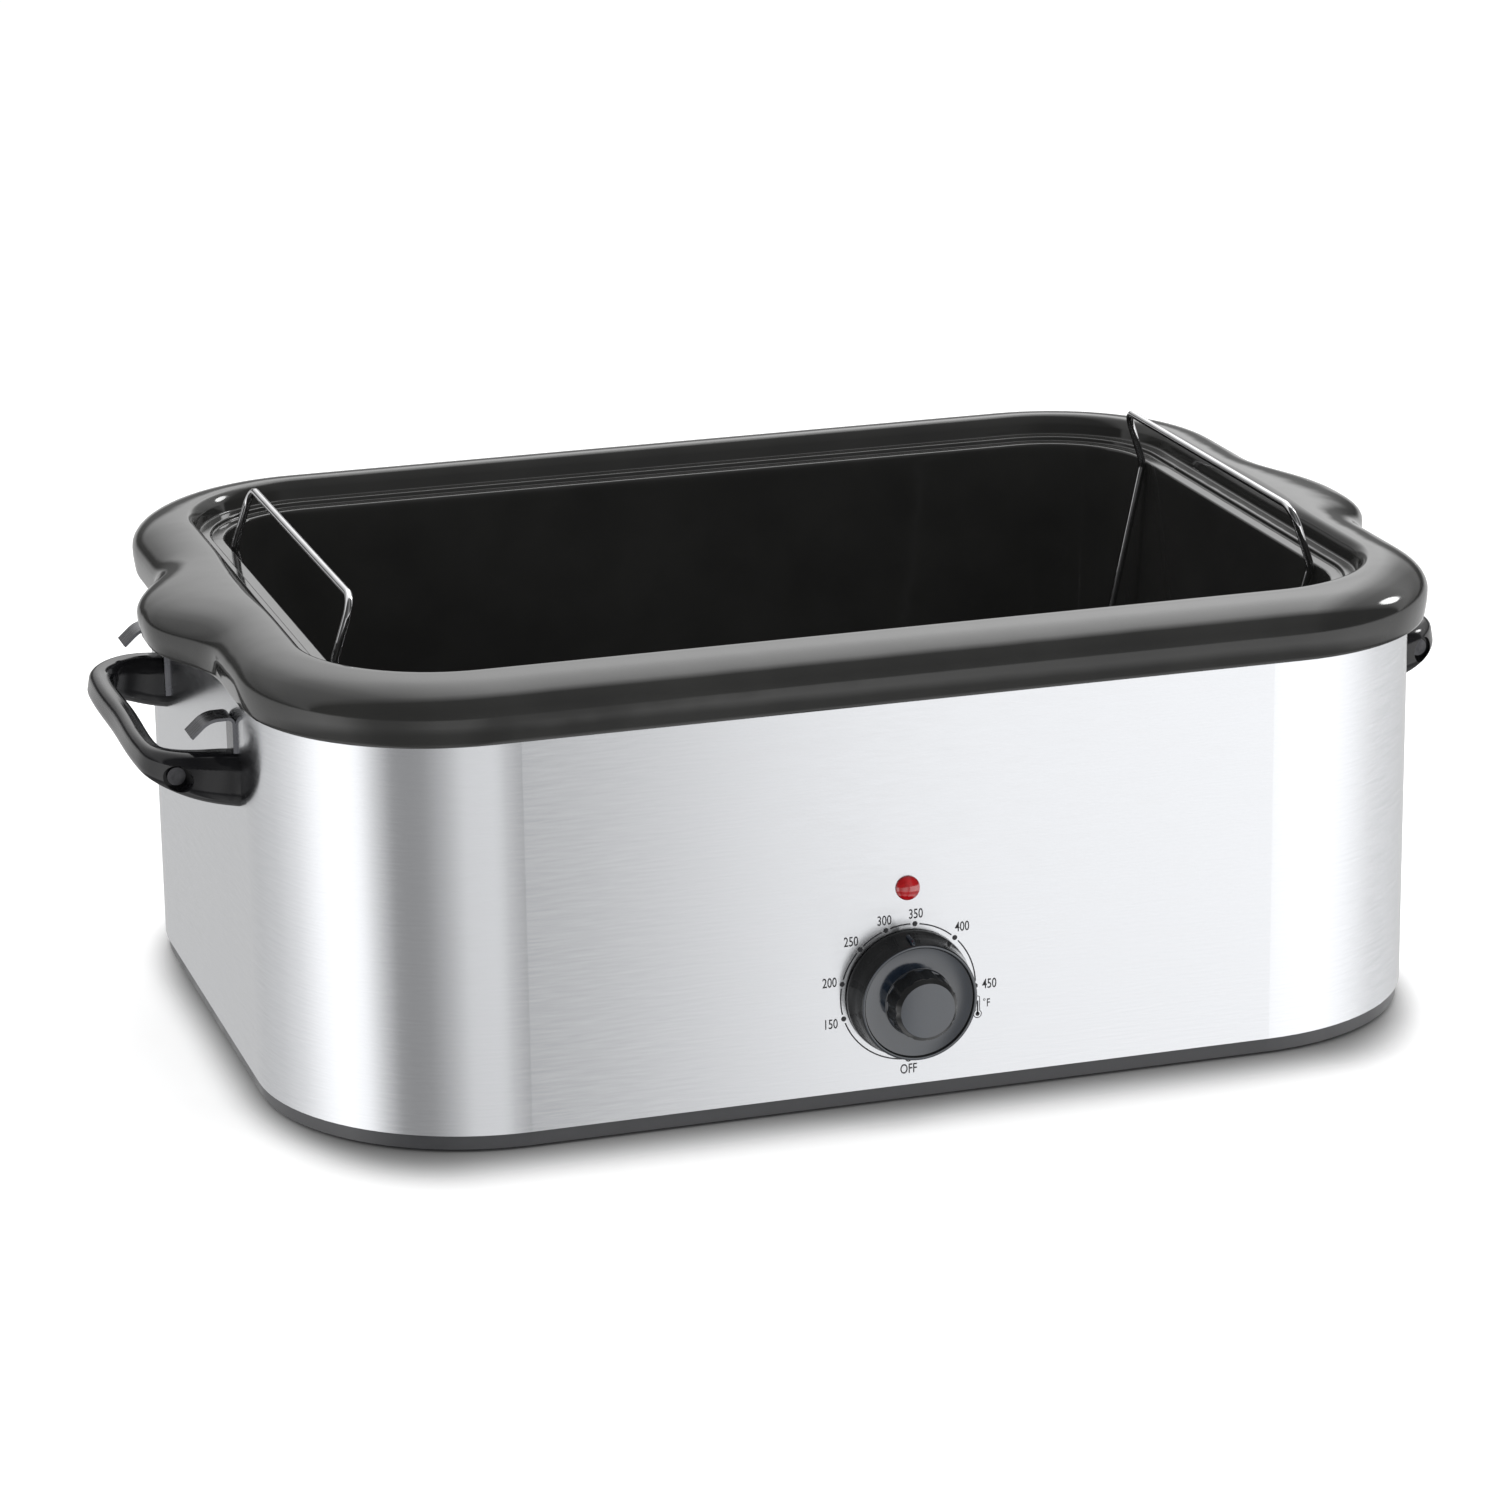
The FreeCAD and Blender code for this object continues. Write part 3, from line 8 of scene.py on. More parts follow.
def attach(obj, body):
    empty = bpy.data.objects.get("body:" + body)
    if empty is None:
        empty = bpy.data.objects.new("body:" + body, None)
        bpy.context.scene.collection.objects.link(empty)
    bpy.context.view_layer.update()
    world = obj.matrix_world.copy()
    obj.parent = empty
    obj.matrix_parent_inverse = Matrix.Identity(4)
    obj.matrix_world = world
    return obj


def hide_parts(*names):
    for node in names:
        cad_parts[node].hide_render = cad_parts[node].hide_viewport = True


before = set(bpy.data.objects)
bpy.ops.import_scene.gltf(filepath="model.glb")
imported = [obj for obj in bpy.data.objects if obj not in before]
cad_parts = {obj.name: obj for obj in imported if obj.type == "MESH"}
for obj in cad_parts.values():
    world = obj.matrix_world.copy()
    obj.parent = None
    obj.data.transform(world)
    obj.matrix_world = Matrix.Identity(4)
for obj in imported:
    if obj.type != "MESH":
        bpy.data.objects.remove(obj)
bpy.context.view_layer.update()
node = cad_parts


# Camera -------------------------------------------------------------------------------------------
# A long lens a little over two metres away, seventeen degrees to the left of the front and seventeen
# degrees above the worktop, held very slightly off level.
LENS_MM, SENSOR_MM, FARTHEST = 122.55, 36, 50
ROLL = np.radians(-0.85)
CAMERA_PLACE = Vector((-0.67350, -2.14804, 0.79665))
CAMERA_AIM = Vector((0.28247, 0.91287, -0.29475))
ahead = CAMERA_AIM.normalized()
level = ahead.cross(Vector((0, 0, 1))).normalized()
upright = level.cross(ahead)
across = level * np.cos(ROLL) + upright * np.sin(ROLL)
up = upright * np.cos(ROLL) - level * np.sin(ROLL)
long_lens = bpy.data.cameras.new("camera")
long_lens.lens = LENS_MM
long_lens.sensor_width = SENSOR_MM
long_lens.clip_end = FARTHEST
camera = bpy.data.objects.new("camera", long_lens)
camera.matrix_world = Matrix.Translation(CAMERA_PLACE) @ Matrix((across, up, -ahead)).transposed().to_4x4()
bpy.context.collection.objects.link(camera)
bpy.context.scene.camera = camera
bpy.context.scene.view_settings.view_transform = "Standard"


# Studio -------------------------------------------------------------------------------------------
# A white sweep of paper under the oven, with the oven's contact shadow painted into it, and three large
# soft lamps that only light it. What polished surfaces mirror is the room: white walls with darker
# stretches between them, long strips of light overhead, and one small window high on the right.
def new_material(name):
    """Material with an empty node tree."""
    material = bpy.data.materials.new(name)
    material.use_nodes = True
    material.node_tree.nodes.clear()
    return material, material.node_tree


def link(tree, source, target):
    """Joins an output, as (node, output), to an input, as (node, input)."""
    tree.links.new(source[0].outputs[source[1]], target[0].inputs[target[1]])


def add(tree, kind, **settings):
    """New shader node.

    A setting names a property, or an input by its label or as i and its number. An input takes a
    constant, or what another node puts out, as (node, output)."""
    made = tree.nodes.new("ShaderNode" + kind)
    for key, value in settings.items():
        if hasattr(made, key):
            setattr(made, key, value)
            continue
        label = key.replace("_", " ")
        into = label if label in made.inputs else int(key[1:])
        if isinstance(value, tuple) and isinstance(value[0], bpy.types.Node):
            link(tree, value, (made, into))
        else:
            made.inputs[into].default_value = value
    return made


# Place, size and depth of the contact shadow that is painted into the paper.
FLOOR_HALF = 12.0
NEAR_GLOW, FAR_GLOW = 0.0, 0.5
PAPER_WHITE, PAPER_IN_PAINTED_SHADOW = 0.86, 0.2
SHADE_MIDDLE = (-0.004, -0.016, 0.0)      # the contact shadow lies a little to the left and the front
SHADE_SQUEEZE = (1.0, 0.56, 1.0)          # and reaches further to the front than to the sides
SHADE_HALF, SHADE_CORNER = (0.196, 0.040, 0.0), 0.060
GLOW_REACH = 0.026                        # from the corner's radius out to where the paper glows in full
PALE_FROM, PALE_REACH = -0.012, 0.0208    # and from where to where it turns white
paper = bpy.data.meshes.new("paper")
paper.from_pydata([(x * FLOOR_HALF, y * FLOOR_HALF, 0) for x, y in ((-1, -1), (1, -1), (1, 1), (-1, 1))],
                  [], [(0, 1, 2, 3)])
floor = bpy.data.objects.new("paper", paper)
floor.visible_glossy = False
bpy.context.collection.objects.link(floor)
material, tree = new_material("white_paper")
# The oven's contact shadow is painted into the paper: near the oven's rounded outline the paper's colour
# darkens and its glow dies away. How far a point of the paper is from that outline: the length of what
# is left of its distance from the middle, each way, beyond the corners' centres.
place = add(tree, "TexCoord")
off = add(tree, "VectorMath", operation="SUBTRACT", i0=(place, "Object"), i1=SHADE_MIDDLE)
folded = add(tree, "VectorMath", operation="ABSOLUTE", i0=(off, 0))
squeezed = add(tree, "VectorMath", operation="MULTIPLY", i0=(folded, 0), i1=SHADE_SQUEEZE)
beyond = add(tree, "VectorMath", operation="SUBTRACT", i0=(squeezed, 0), i1=SHADE_HALF)
kept = add(tree, "VectorMath", operation="MAXIMUM", i0=(beyond, 0), i1=(0, 0, 0))
away = add(tree, "VectorMath", operation="LENGTH", i0=(kept, 0))
# Painted shadow: the paper's glow is nothing at the oven's outline and full a little way out.
glow_outside_painted_shadow = add(tree, "MapRange", interpolation_type="SMOOTHSTEP", Value=(away, "Value"),
           From_Min=SHADE_CORNER, From_Max=SHADE_CORNER + GLOW_REACH, To_Min=NEAR_GLOW, To_Max=FAR_GLOW)
# Painted shadow: the paper's colour is dark at the oven's outline and white a little way out.
painted_shadow_tone = add(tree, "MapRange", interpolation_type="SMOOTHSTEP", Value=(away, "Value"),
           From_Min=SHADE_CORNER + PALE_FROM, From_Max=SHADE_CORNER + PALE_REACH,
           To_Min=PAPER_IN_PAINTED_SHADOW, To_Max=PAPER_WHITE)
diffuse = add(tree, "BsdfDiffuse", Color=(painted_shadow_tone, 0))
glow = add(tree, "Emission", Color=(1, 1, 1, 1), Strength=(glow_outside_painted_shadow, 0))
both = add(tree, "AddShader", i0=(diffuse, 0), i1=(glow, 0))
add(tree, "OutputMaterial", Surface=(both, 0))
paper.materials.append(material)

# Brightness of the room: below eye level by degrees from the front towards the left, and above it, where
# long strips of light hang across the room, by degrees from the back over the top to the front.
BRIGHTEST = 4.0
ROOM = ((-180, 0.70), (-135, 0.78), (-95, 1.12), (-70, 1.78), (-54, 2.1), (-30, 2.05), (-23, 1.80),
        (-21, 1.72), (-20, 1.80), (-18, 1.78), (-16.8, 1.40), (-15.5, 0.82), (-14, 0.62), (-11, 0.62),
        (-5, 1.12), (0, 1.32), (5, 1.3), (15, 1.28), (25, 0.88), (36, 0.55), (45, 0.50), (52, 0.52),
        (61, 1.1), (71, 1.95), (84, 2.2), (95, 1.85), (112, 1.26), (130, 0.92), (150, 0.74), (180, 0.66))
STRIPS = ((0, 0.2), (8, 0.3), (12, 1.4), (22, 1.7), (40, 3.4), (66, 4.0), (76, 3.8), (88, 1.5),
          (94, 0.25), (140, 0.25), (180, 0.35))
# How the strips dim to either side, by a hundredth of the direction's share to the right.
DIMMING_TOP = 2.0
DIMMING = ((-100, 0.26), (-40, 0.29), (-20, 0.42), (0, 0.72), (18, 0.95), (36, 1.15), (46, 1.1),
           (55, 0.5), (64, 0.3), (100, 0.3))
# How much of the room is left below the horizon, by a hundredth of the direction's share upward.
BELOW = ((-100, 0.7), (-74, 0.6), (-60, 0.22), (-51, 0.22), (-41, 1.0), (100, 1.0))
# Shares upward between which the room gives way to the strips.
ROOM_TOP, STRIPS_FOOT = -0.10, 0.04
WINDOW_AIM, WINDOW_EDGE, WINDOW_PANE = Vector((0.82, 0.23, 0.52)), np.radians(7.0), np.radians(4.9)
WINDOW_BRIGHT = 18.0
SKY_FILL, PLAIN_WHITE = 0.55, 1.0


def ramp(tree, source, low, high, stops, brightest):
    """Colour ramp through (place, brightness) stops, laid over the source's range from low to high."""
    share = add(tree, "MapRange", Value=source, From_Min=low, From_Max=high)
    made = add(tree, "ValToRGB", i0=(share, 0))
    first, last = stops[0][0], stops[-1][0]
    elements = made.color_ramp.elements
    for place, _ in stops[1:-1]:
        elements.new((place - first) / (last - first))
    for element, (place, bright) in zip(elements, stops):
        element.position = (place - first) / (last - first)
        element.color = (bright / brightest,) * 3 + (1,)
    return made


world = bpy.data.worlds.new("studio")
world.use_nodes = True
world.cycles.sampling_method = "NONE"
bpy.context.scene.world = world
tree = world.node_tree
look = add(tree, "TexCoord")
apart = add(tree, "SeparateXYZ", i0=(look, "Generated"))
left = add(tree, "Math", operation="MULTIPLY", i0=(apart, "X"), i1=-1.0)
front = add(tree, "Math", operation="MULTIPLY", i0=(apart, "Y"), i1=-1.0)
bearing = add(tree, "Math", operation="ARCTAN2", i0=(left, 0), i1=(front, 0))
horizon = ramp(tree, (bearing, 0), -np.pi, np.pi, ROOM, BRIGHTEST)
lower = ramp(tree, (apart, "Z"), -1, 1, BELOW, 1.0)
around = add(tree, "Math", operation="MULTIPLY", i0=(horizon, 0), i1=(lower, 0))
climb = add(tree, "Math", operation="ARCTAN2", i0=(apart, "Z"), i1=(apart, "Y"))
strips = ramp(tree, (climb, 0), 0, np.pi, STRIPS, BRIGHTEST)
dimming = ramp(tree, (apart, "X"), -1, 1, DIMMING, DIMMING_TOP)
dimmed = add(tree, "Math", operation="MULTIPLY", i0=(dimming, 0), i1=DIMMING_TOP)
hung = add(tree, "Math", operation="MULTIPLY", i0=(dimmed, 0), i1=(strips, 0))
lifted = add(tree, "MapRange", interpolation_type="SMOOTHSTEP", Value=(apart, "Z"),
             From_Min=ROOM_TOP, From_Max=STRIPS_FOOT)
blended = add(tree, "Mix", data_type="FLOAT", Factor=(lifted, 0), A=(around, 0), B=(hung, 0))
mirrored = add(tree, "Math", operation="MULTIPLY", i0=(blended, "Result"), i1=BRIGHTEST)
aim = add(tree, "VectorMath", operation="DOT_PRODUCT", i0=(look, "Generated"),
          i1=tuple(WINDOW_AIM.normalized()))
window = add(tree, "MapRange", interpolation_type="SMOOTHSTEP", Value=(aim, "Value"),
             From_Min=np.cos(WINDOW_EDGE), From_Max=np.cos(WINDOW_PANE), To_Max=WINDOW_BRIGHT)
total = add(tree, "Math", operation="ADD", i0=(window, 0), i1=(mirrored, 0))
path = add(tree, "LightPath")
plain = add(tree, "Mix", data_type="FLOAT", Factor=(path, "Is Camera Ray"), A=SKY_FILL, B=PLAIN_WHITE)
strength = add(tree, "Mix", data_type="FLOAT", Factor=(path, "Is Glossy Ray"), A=(plain, "Result"),
               B=(total, 0))
background = tree.nodes["Background"]
background.inputs["Color"].default_value = (1, 1, 1, 1)
link(tree, (strength, "Result"), (background, "Strength"))

LAMP_AIM = Vector((0, 0, 0.1))


def soft_lamp(name, place, size, watts):
    """Rectangular lamp aimed at the middle of the oven, not seen in what mirrors it."""
    lamp = bpy.data.lights.new(name, "AREA")
    lamp.shape = "RECTANGLE"
    lamp.size, lamp.size_y = size
    lamp.energy = watts
    thing = bpy.data.objects.new(name, lamp)
    turned = (LAMP_AIM - Vector(place)).to_track_quat("-Z", "Y").to_matrix().to_4x4()
    thing.matrix_world = Matrix.Translation(place) @ turned
    thing.visible_glossy = False
    bpy.context.collection.objects.link(thing)


soft_lamp("overhead_lamp", place=(0.3, 0.5, 2.2), size=(1.8, 1.2), watts=28)
soft_lamp("left_lamp", place=(-2.0, -0.9, 1.2), size=(0.8, 1.4), watts=8)
soft_lamp("right_lamp", place=(1.8, -1.4, 1.3), size=(0.8, 1.4), watts=8)


# Roasting pan -------------------------------------------------------------------------------------
# One sheet of steel drawn into a deep bowl, stepped for the lid and for the housing, and rolled over
# into a bull-nosed rim with an ear at each end. Black glass enamel is fired on all over, and pools and
# ripples a little as glaze does.
MM = 0.001
OPENING_HALF_LENGTH, OPENING_HALF_WIDTH, OPENING_CORNER = 240.0, 169.5, 61.0
RIM_END_WIDTH, RIM_SIDE_WIDTH, RIM_CORNER = 29.5, 31.0, 89.0
TIGHTEST = 4.0                          # corner of the floor's inner rings
EAR_REACH, EAR_FLAT, EAR_ROOT, EAR_EASE = 19.0, 4.0, 70.0, 0.45
PAN_WALL, PAN_FLOOR = 0.8, 46.0
CREST, CREST_SHARE, EDGE, NOSE_DROP = 206.5, 0.15, 202.5, 14.0


def pan_loop(out, z, samples=(6, 16, 8, 20, 22)):
    """Closed outlines of the pan, one row for each distance out from the opening.

    A quarter is: half of the ear's flat, its S-shaped flank, the straight to the corner, the corner's
    arc and half of the side. The other quarters are its mirror images."""
    out, z = np.asarray(out, float)[:, None], np.asarray(z, float)[:, None]
    share = np.clip(out / RIM_END_WIDTH, 0, None)
    half_x = OPENING_HALF_LENGTH + out
    half_y = OPENING_HALF_WIDTH + np.where(out > 0, share * RIM_SIDE_WIDTH, out)
    corner = OPENING_CORNER + np.where(out > 0, share * (RIM_CORNER - OPENING_CORNER), out)
    corner = np.maximum(corner, TIGHTEST)
    ear = EAR_REACH * share
    flat, t, straight, arc, side = (np.linspace(0, 1, count + 1)[None, :-1] for count in samples)
    flank_x = half_x + ear * (1 - t) ** 2 * (1 + 2 * t)
    ease = EAR_EASE * (EAR_ROOT - EAR_FLAT)
    flank_y = (EAR_FLAT * (1 - t) ** 3 + 3 * (EAR_FLAT + ease) * (1 - t) ** 2 * t
               + 3 * (EAR_ROOT - ease) * (1 - t) * t ** 2 + EAR_ROOT * t ** 3)
    turn = arc * np.pi / 2
    x = [half_x + ear + 0 * flat, flank_x, half_x + 0 * straight,
         half_x - corner + corner * np.cos(turn), (half_x - corner) * (1 - side)]
    y = [EAR_FLAT * flat + 0 * out, flank_y + 0 * out, EAR_ROOT + (half_y - corner - EAR_ROOT) * straight,
         half_y - corner + corner * np.sin(turn), half_y + 0 * side]
    x, y = np.concatenate(x, 1), np.concatenate(y, 1)
    back_x, back_y = x[:, :0:-1], y[:, :0:-1]
    xs = np.concatenate([x, 0 * half_x, -back_x, -x, 0 * half_x, back_x], 1)
    ys = np.concatenate([y, half_y, back_y, -y, -half_y, -back_y], 1)
    return np.stack([xs, ys, z + 0 * xs], -1) * MM


def skin(rings, close_first=True, close_last=True):
    """Points and faces of a surface through rows of closed rings, each joined to the next.

    A closed end gets one point at its ring's mean, joined to the ring by a fan of triangles."""
    rows, count = rings.shape[:2]
    grid = np.arange(rows * count).reshape(rows, count)
    step = np.roll(grid, -1, 1)
    faces = np.stack([grid[:-1], grid[1:], step[1:], step[:-1]], -1).reshape(-1, 4).tolist()
    points = [rings.reshape(-1, 3)]
    for row, wanted, order in ((0, close_first, 1), (rows - 1, close_last, -1)):
        if wanted:
            centre = sum(len(block) for block in points)
            points.append(rings[row].mean(0, keepdims=True))
            fan = np.stack([grid[row], np.roll(grid[row], -order), np.full(count, centre)], -1)
            faces += fan.tolist()
    return np.concatenate(points), faces


def piece(name, *surfaces, smooth=True, sharp=None):
    """Object made of one or more surfaces; edges that fold by more than a given angle stay crisp."""
    points, faces = [], []
    for spots, polygons in surfaces:
        start = sum(len(block) for block in points)
        points.append(spots)
        faces += [[start + corner for corner in polygon] for polygon in polygons]
    mesh = bpy.data.meshes.new(name)
    mesh.from_pydata(np.concatenate(points), [], faces)
    mesh.polygons.foreach_set("use_smooth", np.full(len(mesh.polygons), smooth))
    if sharp:
        mesh.set_sharp_from_angle(angle=np.radians(sharp))
    thing = bpy.data.objects.new(name, mesh)
    bpy.context.collection.objects.link(thing)
    return thing


def softened(corners, radii, steps=5):
    """Profile through given corners, each rounded by an arc of its own radius.

    The arc's centre lies on the corner's bisector, radius over the sine of the half angle away; its
    points are the two tangent directions blended by sines, so they keep the radius."""
    corners = np.asarray(corners, float)
    run = [corners[:1]]
    for before, here, after, radius in zip(corners, corners[1:], corners[2:], radii):
        into, away = before - here, after - here
        into, away = into / np.hypot(*into), away / np.hypot(*away)
        half = np.arccos(np.clip(into @ away, -1, 1)) / 2
        bisector = (into + away) / np.hypot(*(into + away))
        centre = here + bisector * radius / np.sin(half)
        start = here + into * radius / np.tan(half) - centre
        end = here + away * radius / np.tan(half) - centre
        turn = np.pi - 2 * half
        t = np.linspace(0, 1, steps)[:, None]
        run.append(centre + (np.sin((1 - t) * turn) * start + np.sin(t * turn) * end) / np.sin(turn))
    return np.concatenate(run + [corners[-1:]])


# Distance out from the opening, and height: the bowl with its two steps, the brow, which falls from the
# crest to the opening's edge as a parabola, the nose, a quarter of an ellipse, and the hem turned under.
bowl = softened([(-95, PAN_FLOOR), (-22.4, PAN_FLOOR), (-13.1, 190), (-12.8, 195.3), (-6.6, 195.4),
                 (-6.4, 197.3), (-0.8, 197.4), (-0.2, 202)], [17, 3, 1.2, 0.8, 0.8, 1.2])
bowl = np.insert(bowl, 1, [(-60, PAN_FLOOR), (-41, PAN_FLOOR)], 0)      # keeps the floor flat up to its bend
crest_out = CREST_SHARE * RIM_END_WIDTH
fall = np.linspace(0.98, 0.1, 8)
brow = np.stack([crest_out * (1 - fall), CREST - (CREST - EDGE) * fall ** 2], 1)
turn = np.linspace(0, np.pi / 2, 14)
nose = np.stack([crest_out + (RIM_END_WIDTH - crest_out) * np.sin(turn),
                 CREST - NOSE_DROP * (1 - np.cos(turn))], 1)
hem = np.array([(29.42, 189.5), (29.0, 186), (28.6, 183), (28.45, 182.2), (28.1, 181.3), (27.5, 180.9),
                (26.9, 181.3)])
profile = np.concatenate([bowl, brow, nose, hem])
pan = piece("enamelled_pan", skin(pan_loop(*profile.T), close_last=False))
sheet = pan.modifiers.new("sheet", "SOLIDIFY")
sheet.thickness = PAN_WALL * MM
sheet.offset = -1
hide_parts("roasting_pan")
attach(pan, "pan")


def effect(name, pitch, outputs):
    """Node group that takes a pitch and puts out numbers; returns it and its two ends."""
    group = bpy.data.node_groups.new(name, "ShaderNodeTree")
    group.interface.new_socket("Pitch", in_out="INPUT", socket_type="NodeSocketVector").default_value = pitch
    for label in outputs:
        group.interface.new_socket(label, in_out="OUTPUT", socket_type="NodeSocketFloat")
    return group, group.nodes.new("NodeGroupInput"), group.nodes.new("NodeGroupOutput")


# Grain of any finish: two noises on the piece's own coordinates, stretched by the pitch, one a dozen
# times finer than the other.
FINE_STEP = 12.0
grain, given, taken = effect("grain", (100.0, 100.0, 100.0), ("Broad", "Fine"))
here = add(grain, "TexCoord")
spread = add(grain, "VectorMath", operation="MULTIPLY", i0=(here, "Object"), i1=(given, "Pitch"))
closer = add(grain, "VectorMath", operation="SCALE", i0=(spread, 0), Scale=FINE_STEP)
broad = add(grain, "TexNoise", Vector=(spread, 0), Scale=1.0, Detail=2.0)
fine = add(grain, "TexNoise", Vector=(closer, 0), Scale=1.0, Detail=2.0)
link(grain, (broad, 0), (taken, "Broad"))
link(grain, (fine, 0), (taken, "Fine"))

NOISE_LOW, NOISE_HIGH = 0.3, 0.7        # most of a noise lies between these


def finish(name, dark, light, rough, pitch, bump=0.0, depth=0.0002, marks=grain, by="Broad", raised="Fine",
           **settings):
    """Material whose colour goes from dark to light, and its roughness through its range, with one output
    of an effect, while another raises the surface. The settings are constants of the Principled shader."""
    material, tree = new_material(name)
    pitch = (pitch,) * 3 if np.isscalar(pitch) else pitch
    pattern = add(tree, "Group", node_tree=marks, Pitch=pitch)
    contrast = add(tree, "MapRange", Value=(pattern, by), From_Min=NOISE_LOW, From_Max=NOISE_HIGH)
    tone = add(tree, "Mix", data_type="RGBA", Factor=(contrast, 0), A=(*dark, 1), B=(*light, 1))
    polish = add(tree, "MapRange", Value=(pattern, by), From_Min=NOISE_LOW, From_Max=NOISE_HIGH,
                 To_Min=rough[0], To_Max=rough[1])
    shader = add(tree, "BsdfPrincipled", Base_Color=(tone, "Result"), Roughness=(polish, 0), **settings)
    if bump:
        lift = add(tree, "Bump", Strength=bump, Distance=depth, Height=(pattern, raised))
        link(tree, (lift, 0), (shader, "Normal"))
    add(tree, "OutputMaterial", Surface=(shader, 0))
    return material


def dress(material, *things):
    """Gives pieces, or nodes by name, one material."""
    for thing in things:
        thing = node.get(thing, thing) if isinstance(thing, str) else thing
        thing.data.materials.clear()
        thing.data.materials.append(material)


dress(finish("black_enamel", dark=(0.021, 0.021, 0.0205), light=(0.027, 0.027, 0.026), rough=(0.05, 0.09),
             pitch=28, bump=0.3, depth=0.0010, raised="Broad", IOR=1.4), pan)


# Outer wrap ---------------------------------------------------------------------------------------
# Thin stainless sheet bent round the oven and brushed along its length. Its lower edge is turned in on
# to the base plate, and the pan's rim hides its top.
BRUSH_PITCH = (60.0, 60.0, 1000.0)      # along, along and across the strokes
brush, given, taken = effect("brush_strokes", BRUSH_PITCH, ("Stroke",))
here = add(brush, "TexCoord")
spread = add(brush, "VectorMath", operation="MULTIPLY", i0=(here, "Object"), i1=(given, "Pitch"))
stroke = add(brush, "TexNoise", Vector=(spread, 0), Scale=1.0, Detail=3.0, Roughness=0.6)
link(brush, (stroke, 0), (taken, "Stroke"))


def brushed(name, dark, light, rough, pitch, axis="Z", bump=0.12, **settings):
    """Brushed metal: its gleam is drawn out across strokes that run round the given axis."""
    material = finish(name, dark, light, rough, pitch, bump=bump, depth=0.00005, marks=brush, by="Stroke",
                      raised="Stroke", Metallic=1.0, **settings)
    tree = material.node_tree
    around = add(tree, "Tangent", direction_type="RADIAL", axis=axis)
    link(tree, (around, 0), (tree.nodes["Principled BSDF"], "Tangent"))
    return material


dress(brushed("brushed_stainless", dark=(0.605, 0.615, 0.635), light=(0.685, 0.695, 0.715),
              rough=(0.20, 0.25), pitch=BRUSH_PITCH, bump=0.05, Anisotropic=0.92, Anisotropic_Rotation=0.25),
      "outer_wrap")


# Base and feet ------------------------------------------------------------------------------------
# The base is a shallow tray moulded in charcoal plastic that closes the oven from below. Soft rubber
# feet are pressed into it.
dress(finish("charcoal_plastic", dark=(0.050, 0.051, 0.055), light=(0.066, 0.067, 0.072),
             rough=(0.30, 0.42), pitch=60, bump=0.1), "base_plate")
dress(finish("foot_rubber", dark=(0.02, 0.02, 0.02), light=(0.035, 0.034, 0.033), rough=(0.7, 0.9),
             pitch=150, bump=0.3), "feet")


# Side handles -------------------------------------------------------------------------------------
# Loops of glossy black phenolic, moulded in one, with blackened screws that hold them to the tongues of
# steel brackets inside the wrap. The brackets and the oven's other small steel parts are zinc plated.
dress(finish("handle_phenolic", dark=(0.007, 0.007, 0.008), light=(0.012, 0.012, 0.013),
             rough=(0.08, 0.14), pitch=45, bump=0.12, depth=0.0004, raised="Broad", IOR=1.36),
      "side_handle_left", "side_handle_right")
dress(finish("zinc_plate", dark=(0.52, 0.53, 0.55), light=(0.66, 0.66, 0.65), rough=(0.25, 0.42),
             pitch=90, bump=0.15, Metallic=1.0),
      "handle_bracket_left", "handle_bracket_right", "band_clips", "spacer_posts", "thermostat_bracket",
      "lens_clip")
dress(finish("blackened_screw", dark=(0.045, 0.045, 0.048), light=(0.10, 0.10, 0.105), rough=(0.3, 0.45),
             pitch=300, bump=0.2, Metallic=1.0),
      "handle_screws", "base_screws", "thermostat_screws")


# Lid hooks ----------------------------------------------------------------------------------------
# Strips of spring steel up the wrap's face, held behind the handles' arms by the brackets' tongues, with
# a tip that curls down. They keep the lid upright when it is set down on a handle.
dress(brushed("hook_strip", dark=(0.09, 0.092, 0.10), light=(0.17, 0.17, 0.18), rough=(0.22, 0.32),
              pitch=(60, 700, 60), axis="Y", Anisotropic=0.5), "lid_hooks_left", "lid_hooks_right")


# Rack ---------------------------------------------------------------------------------------------
# Steel wire bent and resistance welded, then plated with nickel and chrome. A bail hinged in the eyes
# at each end lifts it out.
dress(finish("chromed_wire", dark=(0.56, 0.56, 0.57), light=(0.66, 0.66, 0.67), rough=(0.05, 0.12),
             pitch=80, bump=0.1, depth=0.0003, raised="Broad", Metallic=1.0),
      "rack_frame", "rack_handle_left", "rack_handle_right")


# Control knob -------------------------------------------------------------------------------------
# One moulding in glossy black phenolic: a waisted skirt, a raised lip round its face and a fluted grip
# with a flat end. A rib on the skirt points at the dial, and the knob is pushed on to the flatted shaft.
CONTROL = (0.0, -196.0, 50.5)           # where the shaft's axis meets the front
KNOB_TURNED = np.radians(-5)            # the rib stands a little left of the top
FLUTES, FLUTE_RADIUS, FLUTE_DEPTH = 12, 3.4, 1.1
FLUTE_START = 0.15                      # above the grip's foot
GRIP_RADIUS, GRIP_FOOT, GRIP_END = 14.8, 14.3, 25.8
RIB_FOOT, RIB_TIP = (27.3, 5.6), (26.3, 15.0)
RIB_HALF_WIDTH, RIB_HALF_HEIGHT = 0.9, 1.3
FACING_COOK = -0.98                     # faces whose direction goes further to the front than this
ON_AXIS = 0.01                          # outlines start this close to the axis
